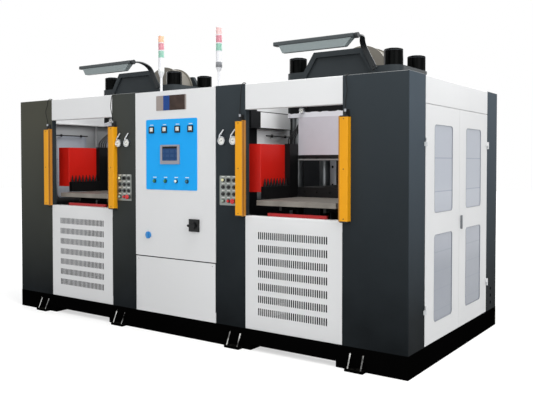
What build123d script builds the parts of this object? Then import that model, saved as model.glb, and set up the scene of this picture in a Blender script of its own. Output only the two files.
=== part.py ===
from build123d import *
from math import radians, tan
import os

# Twin-station compression moulding press in a guard enclosure, with its control cabinet between
# the stations. Millimetres, +Z up, +X along the front, the front faces -Y. The origin is on the
# floor under the middle of the machine.

# Enclosure
CABINET_W = 924
PILLAR_W = 302
OPENING_W = 866
CORNER_W = 508
DEPTH = 1980
HEIGHT = 2100
PLINTH_H = 166
STRIP_W = 288
SILL_Z = 1060
HEAD_Z = HEIGHT - 203
SHEET = 3
BEND_R = 6
FOLD = 50
SILL_D = 90
SIDE_HEAD_Z = HEIGHT - 200
REAR_PANELS = 4
CABLE_HOLE_R = 17
CABLE_HOLE_Y = 831
CABLE_HOLE_Z = (230, 292, 354)

# Base frame and feet
RAIL_W = 100
GROUND_CLEAR = 44
FOOT_X = (660, 1750)
FOOT_W = 145
FOOT_REACH = 55
FOOT_T = 20
GUSSET_SPACING = 104
GUSSET_T = 10
GUSSET_H = 98
GUSSET_REACH = 45
ANCHOR_D = 18

# Vent slots
VENT_COLUMNS = 17
VENT_ROWS = 7
VENT_SPAN = 609
VENT_ROW_PITCH = 99.5
VENT_W = 9
VENT_H = 58
VENT_MID_Z = 612.5

# Cabinet and its door
CASE_FRONT_GAP = 25
CASE_D = 1075
CASE_LIP = 25
LOWER_PANEL_TOP = 656
SEAM = 4
DOOR_SIDE_GAP = 2.5
DOOR_BACK_GAP = 1
DOOR_PIN_INSET = 4.5
DOOR_PIN_R = 3
DOOR_PIN_L = 16
DOOR_PIN_END_GAP = 1
DOOR_BLOCK = 16

# Blue panel and what it carries
PANEL_X0 = -325
PANEL_X1 = 265
PANEL_Z0 = 1245
PANEL_Z1 = 1853
PANEL_R = 12
PLATE_T = 3
NAME_X0 = -201
NAME_X1 = 144
NAME_Z0 = HEIGHT - 172
NAME_Z1 = HEIGHT - 45
NAME_R = 4
SCREEN_X = -37.5
SCREEN_Z = 1549
SCREEN_W = 221
SCREEN_H = 166
SCREEN_R = 6
SCREEN_SINK = 3
SCREEN_PROUD = 10
SCREEN_VIEW_W = 173
SCREEN_VIEW_H = 122
SCREEN_VIEW_UP = 8
SCREEN_BODY_D = 45
SCREEN_BODY_EDGE = 12
SCREEN_FIT = 0.5
METER_X = (-256, -103, 48, 194)
METER_Z = 1763
METER_SIZE = 58
METER_PROUD = 9
METER_FRAME = 5
METER_SINK = 3
BUTTON_X = (-221, -93, 31, 154)
BUTTON_Z = 1321
BUTTON_NAMES = ("pump_start_button", "heater_start_button", "lamp_test_button", "reset_button")
BUTTON_R = 12
BUTTON_RING_R = 17
BUTTON_RING_H = 9
BUTTON_TRAVEL = 4
BUTTON_PROUD = 6
BUTTON_STOP = 0.5
RUNNING_FIT = 0.05
SWITCH_X = 235
SWITCH_Z = 955
SWITCH_BASE = 104
SWITCH_BASE_H = 22
SWITCH_CHAMFER = 4
SWITCH_DISC_R = 30
SWITCH_DISC_H = 12
SWITCH_GRIP_L = 84
SWITCH_GRIP_W = 20
SWITCH_GRIP_H = 18
SWITCH_SHAFT_R = 8
SWITCH_SHAFT_L = 14
LOCK_X = -301
LOCK_Z = 844
LOCK_R = 30
LOCK_H = 12
LOCK_WING_W = 14
LOCK_WING_H = 12
LOCK_SHAFT_R = 8
LOCK_TONGUE_L = 44
LOCK_TONGUE_W = 18
LOCK_TONGUE_T = 4
FACE_GAP = 0.3

# Gear inside the cabinet
GEAR_W = 780
GEAR_H = HEIGHT - 540
GEAR_STANDOFF = 24
GEAR_POST_R = 6
GEAR_EDGE = 30
GEAR_DUCT_H = 40
GEAR_DUCT_D = 60
GEAR_DUCTS = 5
BREAKERS = 6
BREAKER_W = 45
BREAKER_H = 95
BREAKER_D = 75
CONTACTORS = 4
CONTACTOR_W = 78
CONTACTOR_PITCH = 130
SUPPLY_W = 260
SUPPLY_H = 126
DRIVE_W = 195
DRIVE_H = 237
DRIVE_D = 120

# Pillar gauges
PILLAR_MID = (CABINET_W + PILLAR_W) / 2
GAUGE_X = (-PILLAR_MID - 48, -PILLAR_MID + 60, PILLAR_MID - 74, PILLAR_MID + 43)
GAUGE_Z = 1656
GAUGE_R = 34
GAUGE_D = 26
GAUGE_SINK = 3
GAUGE_LIP = 4
STEM_R = 7
STEM_RISE = 90
SMALL_GAUGE_R = 24
SMALL_GAUGE_X = -338
SMALL_GAUGE_Z = 1926

# Pillar control plates
CONTROL_X = {"left": -PILLAR_MID + 10, "right": PILLAR_MID - 16}
CONTROL_Z = 1255
CONTROL_W = 184
CONTROL_H = 238
CONTROL_CORNER_R = 6
CONTROL_PITCH = 56
RING_R = 16
RING_H = 6
CAP_R = 11
CAP_H = 9
PILOT_H = 12
PILOT_TAPER = 15
STOP_RING_H = 14
STOP_HEAD_R = 20
STOP_HEAD_H = 12
STOP_TRAVEL = 5
SELECTOR_STEM_R = 9
SELECTOR_H = 12
SELECTOR_GRIP_L = 30
SELECTOR_GRIP_W = 9
SELECTOR_GRIP_H = 12
SELECTOR_RIM = 1

# Light curtains at the station openings
CURTAIN_OUT = 500
CURTAIN_W = 64
CURTAIN_D = 50
CURTAIN_Z0 = 1059
CURTAIN_Z1 = HEIGHT - 290
CURTAIN_CHAMFER = 4
LENS_W = 10
LENS_D = 42
TAB_T = 3
TAB_W = 45
CONNECTOR_R = 9
CONNECTOR_H = 48
CABLE_R = 3
CABLE_FIRST_RUN = 30
CABLE_TOP_RUN = 30
CABLE_TURN_DROP = 12
ARC_SHARE = 0.45
CABLE_LEAN = ((-18, -26, 3, 6), (-14, -24, -16, -8), (4, 8, 14, 18), (6, 18, 10, 2))
CLIP_H = 12
CLIP_W = 20

# Signal towers on the cabinet roof
TOWER_X = 335
TOWER_Y = -790
TOWER_POLE_R = 11
TOWER_POLE_H = 145
TOWER_R = 26
TOWER_BODY_H = 176
TOWER_FLARE_H = 40
LENS_H = 68
LENS_COUNT = 3
LENS_GROOVE = 2
TOWER_BASE_R = 34
TOWER_BASE_H = 8

# Press frames
PRESS_Y = 55
BAR_X = 455
BAR_Y = 235
BAR_R = 50
BAR_FIT = 0.2
BOSS_R = 90
BED_H = 394
BED_SOCKET = 260
BED_CORNER_R = 60
BED_CHAMFER = 12
CYLINDER_R = 230
CYLINDER_H = 530
GLAND_R = 252
GLAND_H = 45
RAM_R = 150
RAM_REACH = 330
RAM_END_GAP = 10
CROWN_Z0 = 1870
CROWN_TOP = 2262
CROWN_FLANGE = 100
CROWN_WAIST_GAP = 10
HUMP_T = 40
HUMP_PROUD = 20
HUMP_TOP = 2416
HUMP_TOP_HALF = 230
HUMP_FOOT_HALF = 350
HUMP_FOOT_Z = 2228
HUMP_BORDER = 45
HUMP_SINK = 18
NUT_R = 78
NUT_H = 133
NUT_CHAMFER = 5
NUT_SLOTS = 4
NUT_SLOT_W = 16
NUT_SLOT_D = 10
BAR_PROUD = 6
VAULT_R = 240
VAULT_L = 190
VAULT_RIM = 12
VAULT_RIM_L = 18

# Platens and table
PLATEN_HALF_W = 380
PLATEN_HALF_D = 352
UPPER_PLATEN_Z0 = 1500
UPPER_PLATEN_H = 45
LOWER_PLATEN_H = 85
TABLE_Z0 = 1143
TABLE_T = 40
TABLE_HALF_W = 356
TABLE_FRONT = -947
TABLE_RIB_X = 200
TABLE_RIB_T = 24
TABLE_RIB_H = 44
TABLE_RIB_FRONT = -840
HEATER_HOLES = 6
HEATER_HOLE_R = 9
HEATER_HOLE_D = 14

# Pieces around the mould space
GUARD_Z0 = 1240
GUARD_Z1 = 1632
GUARD_FRONT = -790
GUARD_FLARE_X = 116
GUARD_FLARE_Y = 32
BOX_T = 53
BOX_FRONT = -435
BOX_D = 130
BOX_Z0 = 1185
BOX_Z1 = 1640
BOX_ARM_L = 105
BOX_ARM_H = 70
BOX_ARM_DROP = 10
RACK_W = 44
RACK_FRONT = -790
RACK_H = 100
CONES = 8
CONE_R = 14
CONE_TIP_R = 3
CONE_H = 65
HOSE_R = 5
HOSE_END_RUN = 40
HOSE_SWAY = 10
HOSE_Y = (-415, -385, -355, -325)
HOSE_END_Y = (-258, -239, -220, -201)
BAR_RED_HALF = 265
BAR_RED_T = 25
STRUT_X = 448
STRUT_W = 70
STRUT_T = 12
STRUT_TOP = 1620
STRUT_Y = 420
STRUT_HOLE_R = 14
STRUT_HOLE_Z = (1264, 1438)
DUCT_T = 40
DUCT_Z0 = HEIGHT - 320
DUCT_H = 150
DUCT_Y0 = -560
DUCT_L = 620
RAIL_R = 6
KNOB_R = 15
ROD_OUT = 25
ROD_RIGHT_Z = HEIGHT - 380
ROD_RIGHT_Y = (54, -309)
KNOB_RIGHT_Y = (-221, -4)
ROD_LEFT_INSET = 38
ROD_LEFT_Z = HEIGHT - 325
ROD_LEFT_L = 552
KNOB_LEFT_Y = (-508, -239)

# Work lamps
LAMP_Y = -672
LAMP_Z0 = 2425
LAMP_H = 33
LAMP_HALF = 363
LAMP_D = 70
LAMP_EDGE_R = 8
LAMP_TRUNNION_R = 6
LAMP_TRUNNION_L = 18
SHADE_H = 60
SHADE_TOP_X = (-312, 345)
SHADE_FOOT_X = (-284, 287)
SHADE_TOP_D = 62
SHADE_FOOT_D = 44
ARM_T = 12
ARM_W = 46
ARM_R = 14
ARM_FOOT = (345, 2235)
ARM_HEAD = (245, 2430)
ARM_TOP = 2470
ARM_OUT = (90, 250)
ARM_BEND_R = 60
ARM_EYE_R = 22
ARM_EYE_T = 30
ARM_EYE_GAP = 2
ARM_TUCK = 12

# Side doors
SIDE_DOOR_D = 25
SIDE_GAP = 3
WINDOW_Y0 = 155
WINDOW_Y1 = 530
WINDOW_UPPER = (1112, SIDE_HEAD_Z - 142)
WINDOW_LOWER = (310, 952)
WINDOW_R = 30
PANE_T = 4
PANE_LAP = 15
HINGE_Z = (432, SIDE_HEAD_Z - 273)
HINGE_OUT = 9
KNUCKLE_R = 7
KNUCKLE_H = 30
HINGE_PIN_R = 4
HINGE_LEAF = 26
HANDLE_Y = 40
HANDLE_Z = 1062
HANDLE_L = 110
HANDLE_W = 24
HANDLE_T = 12
HANDLE_SHAFT_R = 6
HANDLE_CAM_T = 4

# Power unit behind the cabinet
SKID_H = 60
SKID_W = 80
SKID_Y = 120
TANK_W = 760
TANK_D = 560
TANK_H = 620
TANK_Y = 600
MOTOR_X = -300
MOTOR_R = 130
MOTOR_L = 380
PUMP_R = 80
PUMP_L = 150
MOTOR_FOOT_H = 40

# Places worked out from the sizes above
X_CAB = CABINET_W / 2
X_PILLAR = X_CAB + PILLAR_W
X_STATION = X_PILLAR + OPENING_W / 2
X_CORNER = X_PILLAR + OPENING_W
X_OUT = X_CORNER + CORNER_W
ROD_LEFT_X = ROD_LEFT_INSET - X_OUT
Y_FRONT = -DEPTH / 2
Y_REAR = DEPTH / 2
Y_STRIP = Y_FRONT + STRIP_W
SIDES = (-1, 1)
STATION_X = (-X_STATION, X_STATION)
TABLE_TOP = TABLE_Z0 + TABLE_T
UPPER_PLATEN_TOP = UPPER_PLATEN_Z0 + UPPER_PLATEN_H
PEDESTAL_HALF_W = PLATEN_HALF_W - 2
PEDESTAL_HALF_D = PLATEN_HALF_D - 2
PEDESTAL_FRONT = PRESS_Y - PEDESTAL_HALF_D
BOSS_HALF_W = BAR_X + BOSS_R
BOSS_HALF_D = BAR_Y + BOSS_R
HUMP_FACE = PRESS_Y - BOSS_HALF_D - HUMP_PROUD
CASE_FRONT = Y_FRONT + CASE_FRONT_GAP
DOOR_Z0 = LOWER_PANEL_TOP + SEAM
DOOR_Z1 = HEIGHT - SEAM - DOOR_BACK_GAP
DOOR_BACK = CASE_FRONT - DOOR_BACK_GAP
DOOR_HALF_W = X_CAB - DOOR_SIDE_GAP
PIN_X = DOOR_HALF_W - DOOR_PIN_INSET
PIN_Y = Y_FRONT + DOOR_PIN_INSET
PANEL_FACE = Y_FRONT - PLATE_T
CURTAIN_X = CURTAIN_OUT - CURTAIN_W / 2
CURTAIN_PLACES = [(x + s * CURTAIN_X, s) for x in STATION_X for s in SIDES]

os.makedirs("parts", exist_ok=True)


def save(piece, name):
    """Labels a finished sub-part and writes its STEP file."""
    piece.part.label = name
    export_step(piece.part, f"parts/{name}.step")


def front(y):
    """The upright plane at depth y that looks out of the front, its x along +X and its y up."""
    return Plane.XZ.offset(-y)


def folded(*points):
    """Section of a folded sheet: its outer face follows the points, the metal lies to their left."""
    with BuildSketch() as section:
        with BuildLine():
            FilletPolyline(*points, radius=BEND_R)
            offset(amount=SHEET, side=Side.LEFT)
        make_face()
    return section.sketch


# Base frame: channel rails and cross members welded into one frame, lifted under the stations,
# with gusseted foot pads along both long sides.
gusset_x = [side * x + end * GUSSET_SPACING / 2 for side in SIDES for x in FOOT_X for end in SIDES]
foot_places = [(side * x, end) for side in SIDES for x in FOOT_X for end in SIDES]
with BuildPart() as base_frame:
    with BuildSketch():
        Rectangle(2 * X_OUT, DEPTH)
        Rectangle(2 * (X_OUT - RAIL_W), DEPTH - 2 * RAIL_W, mode=Mode.SUBTRACT)
        with Locations(*[(side * x, 0) for side in SIDES for x in (X_PILLAR, X_CORNER)]):
            Rectangle(RAIL_W, DEPTH - 2 * RAIL_W)
    extrude(amount=PLINTH_H)
    with BuildSketch():
        with Locations(*[(x, 0) for x in STATION_X]):
            Rectangle(OPENING_W - RAIL_W, DEPTH)
    extrude(amount=GROUND_CLEAR, mode=Mode.SUBTRACT)
    with BuildSketch():
        with Locations(*[(x, end * (DEPTH + FOOT_REACH) / 2) for x, end in foot_places]):
            Rectangle(FOOT_W, FOOT_REACH)
            Circle(ANCHOR_D / 2, mode=Mode.SUBTRACT)
    extrude(amount=FOOT_T)
    with BuildSketch(*[Plane.YZ.offset(x) for x in gusset_x]):
        for end in SIDES:
            with BuildLine():
                Polyline(
                    (end * Y_REAR, FOOT_T),
                    (end * (Y_REAR + GUSSET_REACH), FOOT_T),
                    (end * Y_REAR, FOOT_T + GUSSET_H),
                    close=True,
                )
            make_face()
    extrude(amount=GUSSET_T / 2, both=True)
save(base_frame, "base_frame")


def hinge_halves(y_sign, moving):
    """Lift-off hinge halves on the side faces: fixed ones with a pin, or moving ones with a bore."""
    with BuildPart() as halves:
        y_axis = y_sign * -Y_STRIP
        for z in HINGE_Z:
            z0 = z + FACE_GAP if moving else z - KNUCKLE_H
            leaf_y = y_axis + (-y_sign if moving else y_sign) * HINGE_LEAF / 2
            with BuildSketch(Plane.XY.offset(z0)):
                with Locations((X_OUT + HINGE_OUT / 2, leaf_y)):
                    Rectangle(HINGE_OUT, HINGE_LEAF)
                with Locations((X_OUT + HINGE_OUT, y_axis)):
                    Circle(KNUCKLE_R)
                    if moving:
                        Circle(HINGE_PIN_R + RUNNING_FIT, mode=Mode.SUBTRACT)
            extrude(amount=KNUCKLE_H)
            if not moving:
                with BuildSketch(Plane.XY.offset(z)):
                    with Locations((X_OUT + HINGE_OUT, y_axis)):
                        Circle(HINGE_PIN_R)
                extrude(amount=KNUCKLE_H)
    return halves.part


# Corner covers: folded sheets that wrap the four corners, with the fixed hinge halves of the side
# doors. The rear right one has the cable entries.
with BuildPart() as front_corner_covers:
    with BuildSketch(Plane.XY.offset(PLINTH_H)):
        add(
            folded(
                (X_CORNER, Y_FRONT + FOLD),
                (X_CORNER, Y_FRONT),
                (X_OUT, Y_FRONT),
                (X_OUT, Y_STRIP),
                (X_OUT - FOLD, Y_STRIP),
            )
        )
    extrude(amount=HEIGHT - PLINTH_H)
    add(hinge_halves(-1, moving=False))
    mirror(about=Plane.YZ)
save(front_corner_covers, "front_corner_covers")

with BuildPart() as rear_corner_covers:
    with BuildSketch(Plane.XY.offset(PLINTH_H)):
        add(
            folded(
                (X_OUT - FOLD, -Y_STRIP),
                (X_OUT, -Y_STRIP),
                (X_OUT, Y_REAR),
                (X_CORNER, Y_REAR),
                (X_CORNER, Y_REAR - FOLD),
            )
        )
    extrude(amount=HEIGHT - PLINTH_H)
    add(hinge_halves(1, moving=False))
    mirror(about=Plane.YZ)
    with BuildSketch(Plane.YZ.offset(X_OUT)):
        with Locations(*[(CABLE_HOLE_Y, z) for z in CABLE_HOLE_Z]):
            Circle(CABLE_HOLE_R)
    extrude(amount=-2 * SHEET, mode=Mode.SUBTRACT)
save(rear_corner_covers, "rear_corner_covers")

# Pillar covers: folded channels either side of the cabinet.
with BuildPart() as pillar_covers:
    with BuildSketch(Plane.XY.offset(PLINTH_H)):
        add(
            folded(
                (X_CAB, Y_FRONT + FOLD),
                (X_CAB, Y_FRONT),
                (X_PILLAR, Y_FRONT),
                (X_PILLAR, Y_FRONT + FOLD),
            )
        )
        mirror(about=Plane.YZ)
    extrude(amount=HEIGHT - PLINTH_H)
save(pillar_covers, "pillar_covers")

# Top panels: the fascias over the two openings and the fixed panels over the side doors.
with BuildPart() as top_panels:
    with BuildSketch(*[Plane.YZ.offset(x - OPENING_W / 2) for x in STATION_X]):
        add(
            folded(
                (Y_FRONT + FOLD, HEIGHT),
                (Y_FRONT, HEIGHT),
                (Y_FRONT, HEAD_Z),
                (Y_FRONT + FOLD, HEAD_Z),
            )
        )
    extrude(amount=OPENING_W)
    with BuildSketch(Plane.XZ.offset(Y_STRIP)):
        add(
            folded(
                (X_OUT - FOLD, SIDE_HEAD_Z),
                (X_OUT, SIDE_HEAD_Z),
                (X_OUT, HEIGHT),
                (X_OUT - FOLD, HEIGHT),
            )
        )
        mirror(about=Plane.YZ)
    extrude(amount=-2 * Y_STRIP)
save(top_panels, "top_panels")

# Lower panels: a slotted vent panel with a deep sill under each opening, and the plain panel that
# closes the foot of the cabinet.
with BuildPart() as lower_panels:
    with BuildSketch(*[Plane.YZ.offset(x - OPENING_W / 2) for x in STATION_X]):
        add(
            folded(
                (Y_FRONT + SILL_D, SILL_Z),
                (Y_FRONT, SILL_Z),
                (Y_FRONT, PLINTH_H),
                (Y_FRONT + FOLD, PLINTH_H),
            )
        )
    extrude(amount=OPENING_W)
    with BuildSketch(front(Y_FRONT)):
        with Locations(*[(x, VENT_MID_Z) for x in STATION_X]):
            with GridLocations(VENT_SPAN / (VENT_COLUMNS - 1), VENT_ROW_PITCH, VENT_COLUMNS, VENT_ROWS):
                Rectangle(VENT_W, VENT_H)
    extrude(amount=-SHEET, mode=Mode.SUBTRACT)
    with BuildSketch(Plane.XY.offset(PLINTH_H)):
        add(
            folded(
                (-DOOR_HALF_W, CASE_FRONT),
                (-DOOR_HALF_W, Y_FRONT),
                (DOOR_HALF_W, Y_FRONT),
                (DOOR_HALF_W, CASE_FRONT),
            )
        )
    extrude(amount=LOWER_PANEL_TOP - PLINTH_H)
save(lower_panels, "lower_panels")

# Cabinet case: a welded sheet box, open in front behind the door and the lower panel, with the
# two door pivots on lugs at its right edge.
case_mid_y = CASE_FRONT + CASE_D / 2
with BuildPart() as cabinet_case:
    with BuildSketch(Plane.XY.offset(PLINTH_H)):
        with Locations((0, case_mid_y)):
            Rectangle(CABINET_W, CASE_D)
    extrude(amount=HEIGHT - PLINTH_H)
    with BuildSketch(Plane.XY.offset(PLINTH_H + SHEET)):
        with Locations((0, case_mid_y)):
            Rectangle(CABINET_W - 2 * SHEET, CASE_D - 2 * SHEET)
    extrude(amount=HEIGHT - PLINTH_H - 2 * SHEET, mode=Mode.SUBTRACT)
    with BuildSketch(front(CASE_FRONT)):
        for low, high in ((PLINTH_H, LOWER_PANEL_TOP), (LOWER_PANEL_TOP, HEIGHT)):
            with Locations((0, (low + high) / 2)):
                Rectangle(CABINET_W - 2 * CASE_LIP, high - low - 2 * CASE_LIP)
    extrude(amount=-SHEET, mode=Mode.SUBTRACT)
    with BuildSketch(*[Plane.XY.offset(z + FACE_GAP) for z in (LOWER_PANEL_TOP, DOOR_Z1)]):
        with Locations(((PIN_X + X_CAB - DOOR_SIDE_GAP) / 2 - DOOR_PIN_INSET, (Y_FRONT + CASE_FRONT) / 2)):
            Rectangle(4 * DOOR_PIN_INSET, CASE_FRONT_GAP)
    extrude(amount=SEAM - 2 * FACE_GAP)
    with BuildSketch(Plane.XY.offset(DOOR_Z0 - FACE_GAP)):
        with Locations((PIN_X, PIN_Y)):
            Circle(DOOR_PIN_R)
    extrude(amount=DOOR_PIN_L)
    with BuildSketch(Plane.XY.offset(DOOR_Z1 + FACE_GAP)):
        with Locations((PIN_X, PIN_Y)):
            Circle(DOOR_PIN_R)
    extrude(amount=-DOOR_PIN_L)
save(cabinet_case, "cabinet_case")

# Gear plate: the mounting plate at the back of the cabinet with its wiring ducts, drives,
# controller, breakers and contactors.
gear_back = CASE_FRONT + CASE_D - SHEET
gear_face = gear_back - GEAR_STANDOFF - SHEET
gear_mid_z = (PLINTH_H + HEIGHT) / 2
gear_bay = (GEAR_H - GEAR_DUCT_H) / (GEAR_DUCTS - 1)
with BuildPart() as gear_plate:
    with BuildSketch(front(gear_face)):
        with Locations((0, gear_mid_z)):
            Rectangle(GEAR_W, GEAR_H)
    extrude(amount=-SHEET)
    with BuildSketch(front(gear_face + SHEET)):
        with Locations((0, gear_mid_z)):
            with GridLocations(GEAR_W - 2 * GEAR_EDGE, GEAR_H - 2 * GEAR_EDGE, 2, 2):
                Circle(GEAR_POST_R)
    extrude(amount=-GEAR_STANDOFF)
    with BuildSketch(front(gear_face)):
        with Locations((0, gear_mid_z)):
            with GridLocations(GEAR_W, gear_bay, 1, GEAR_DUCTS):
                Rectangle(GEAR_W - 2 * GEAR_EDGE, GEAR_DUCT_H)
    extrude(amount=GEAR_DUCT_D)
    with BuildSketch(front(gear_face)):
        with Locations((-GEAR_W / 4, gear_mid_z + 1.5 * gear_bay)):
            with GridLocations(BREAKER_W + SEAM, 0, BREAKERS, 1):
                Rectangle(BREAKER_W, BREAKER_H)
        with Locations((GEAR_W / 4, gear_mid_z + 1.5 * gear_bay)):
            Rectangle(SUPPLY_W, SUPPLY_H)
        with Locations((0, gear_mid_z + 0.5 * gear_bay)):
            with GridLocations(CONTACTOR_PITCH, 0, CONTACTORS, 1):
                Rectangle(CONTACTOR_W, BREAKER_H)
    extrude(amount=BREAKER_D)
    with BuildSketch(front(gear_face)):
        with Locations((0, gear_mid_z - 0.5 * gear_bay)):
            with GridLocations(GEAR_W / 2, 0, 2, 1):
                Rectangle(DRIVE_W, DRIVE_H)
    extrude(amount=DRIVE_D)
save(gear_plate, "gear_plate")

# Rear panels: folded sheets that close the back between the corner covers.
rear_w = 2 * X_CORNER / REAR_PANELS
with BuildPart() as rear_panels:
    with BuildSketch(Plane.XY.offset(PLINTH_H)):
        for panel in range(REAR_PANELS):
            x0 = -X_CORNER + panel * rear_w
            add(
                folded(
                    (x0 + rear_w, Y_REAR - FOLD),
                    (x0 + rear_w, Y_REAR),
                    (x0, Y_REAR),
                    (x0, Y_REAR - FOLD),
                )
            )
    extrude(amount=HEIGHT - PLINTH_H)
save(rear_panels, "rear_panels")

# Signal towers: a flared pole on a round base, and three lens rings with a cap.
tower_flare = HEIGHT + TOWER_POLE_H
tower_body = tower_flare + TOWER_BODY_H
with BuildPart() as tower_pole:
    with BuildSketch(Plane.XZ):
        with BuildLine():
            Polyline(
                (0, HEIGHT),
                (TOWER_BASE_R, HEIGHT),
                (TOWER_BASE_R, HEIGHT + TOWER_BASE_H),
                (TOWER_POLE_R, HEIGHT + TOWER_BASE_H),
                (TOWER_POLE_R, tower_flare),
                (TOWER_R, tower_flare + TOWER_FLARE_H),
                (TOWER_R, tower_body),
                (0, tower_body),
                close=True,
            )
        make_face()
    revolve()
with BuildPart() as tower_lens:
    with BuildSketch(Plane.XZ):
        for ring in range(LENS_COUNT):
            z0 = tower_body + ring * LENS_H
            with BuildLine():
                Polyline(
                    (0, z0),
                    (TOWER_R - LENS_GROOVE, z0),
                    (TOWER_R, z0 + LENS_GROOVE),
                    (TOWER_R, z0 + LENS_H - LENS_GROOVE),
                    (TOWER_R - LENS_GROOVE, z0 + LENS_H),
                    (0, z0 + LENS_H),
                    close=True,
                )
            make_face()
    revolve()
with BuildPart() as signal_towers:
    with Locations(*[(side * TOWER_X, TOWER_Y, 0) for side in SIDES]):
        add(tower_pole.part)
        add(tower_lens.part)
save(signal_towers, "signal_towers")


def gauge(radius):
    """A round gauge with its back at the origin, facing -Y, its dial sunk behind a lip."""
    with BuildPart() as body:
        with BuildSketch(Plane.XZ):
            Circle(radius)
        extrude(amount=GAUGE_D)
        with BuildSketch(Plane.XZ.offset(GAUGE_D)):
            Circle(radius - GAUGE_LIP)
        extrude(amount=-GAUGE_SINK, mode=Mode.SUBTRACT)
    return body.part


# Pressure gauges: two on each pillar with a bent chrome stem, and a small one on each crown.
with BuildPart() as pillar_gauge:
    add(gauge(GAUGE_R))
    with BuildLine(Plane.XZ.offset(GAUGE_D / 2)) as stem_path:
        FilletPolyline(
            (-GAUGE_R + STEM_R, 0),
            (-GAUGE_R + STEM_R, GAUGE_R + STEM_R),
            (GAUGE_R / 2, STEM_RISE),
            radius=3 * STEM_R,
        )
    with BuildSketch(Plane(origin=stem_path.line @ 0, z_dir=stem_path.line % 0)):
        Circle(STEM_R)
    sweep()
small_gauge = gauge(SMALL_GAUGE_R)
with BuildPart() as pressure_gauges:
    with Locations(*[(x, Y_FRONT, GAUGE_Z) for x in GAUGE_X]):
        add(pillar_gauge.part)
    with Locations(*[(x + SMALL_GAUGE_X, HUMP_FACE, SMALL_GAUGE_Z) for x in STATION_X]):
        add(small_gauge)
save(pressure_gauges, "pressure_gauges")

# Control plates: bright plates with lamps and capped push buttons, and bored rings for the
# selector in the top row and the stop button in the bottom row.
with BuildPart() as control_plate:
    with BuildSketch(front(Y_FRONT)):
        RectangleRounded(CONTROL_W, CONTROL_H, CONTROL_CORNER_R)
    extrude(amount=PLATE_T)
    with BuildSketch(front(PANEL_FACE)):
        with GridLocations(CONTROL_PITCH, CONTROL_PITCH, 3, 4):
            Circle(RING_R)
    extrude(amount=RING_H)
    with BuildSketch(front(PANEL_FACE)):
        with Locations((CONTROL_PITCH, -1.5 * CONTROL_PITCH)):
            Circle(RING_R)
    extrude(amount=STOP_RING_H)
    with BuildSketch(front(PANEL_FACE - RING_H)):
        with GridLocations(CONTROL_PITCH, CONTROL_PITCH, 3, 2):
            Circle(CAP_R)
        with Locations((CONTROL_PITCH, 1.5 * CONTROL_PITCH), (0, -1.5 * CONTROL_PITCH)):
            Circle(CAP_R)
    extrude(amount=CAP_H)
    with BuildSketch(front(PANEL_FACE - RING_H)):
        with Locations((-CONTROL_PITCH, 1.5 * CONTROL_PITCH), (-CONTROL_PITCH, -1.5 * CONTROL_PITCH)):
            Circle(CAP_R)
    extrude(amount=PILOT_H, taper=PILOT_TAPER)
    with BuildSketch(front(PANEL_FACE)):
        with Locations((0, 1.5 * CONTROL_PITCH), (CONTROL_PITCH, -1.5 * CONTROL_PITCH)):
            Circle(SELECTOR_STEM_R + RUNNING_FIT)
    extrude(amount=STOP_RING_H, mode=Mode.SUBTRACT)
with BuildPart() as control_plates:
    with Locations(*[(x, 0, CONTROL_Z) for x in CONTROL_X.values()]):
        add(control_plate.part)
save(control_plates, "control_plates")

for side, x in CONTROL_X.items():
    # Selector: a stem in its ring, a round knob and a grip bar across it.
    with BuildPart() as selector:
        with BuildSketch(front(PANEL_FACE - FACE_GAP)):
            with Locations((x, CONTROL_Z + 1.5 * CONTROL_PITCH)):
                Circle(SELECTOR_STEM_R)
        extrude(amount=RING_H + SELECTOR_H)
        with BuildSketch(front(PANEL_FACE - RING_H - FACE_GAP)):
            with Locations((x, CONTROL_Z + 1.5 * CONTROL_PITCH)):
                Circle(RING_R - SELECTOR_RIM)
        extrude(amount=SELECTOR_H / 2)
        with BuildSketch(front(PANEL_FACE - RING_H - SELECTOR_H / 2)):
            with Locations((x, CONTROL_Z + 1.5 * CONTROL_PITCH)):
                Rectangle(SELECTOR_GRIP_W, SELECTOR_GRIP_L)
        extrude(amount=SELECTOR_GRIP_H)
    save(selector, f"{side}_selector")

    # Stop button: a stem in its tall ring under a domed mushroom head.
    head_gap = STOP_TRAVEL + BUTTON_STOP
    with BuildPart() as stop_button:
        with BuildSketch(front(PANEL_FACE - head_gap)):
            with Locations((x + CONTROL_PITCH, CONTROL_Z - 1.5 * CONTROL_PITCH)):
                Circle(SELECTOR_STEM_R)
        extrude(amount=STOP_RING_H)
        with BuildSketch(front(PANEL_FACE - STOP_RING_H - head_gap)):
            with Locations((x + CONTROL_PITCH, CONTROL_Z - 1.5 * CONTROL_PITCH)):
                Circle(STOP_HEAD_R)
        extrude(amount=STOP_HEAD_H)
        fillet(stop_button.edges().group_by(Axis.Y)[0], STOP_HEAD_H / 2)
    save(stop_button, f"{side}_stop_button")

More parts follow.
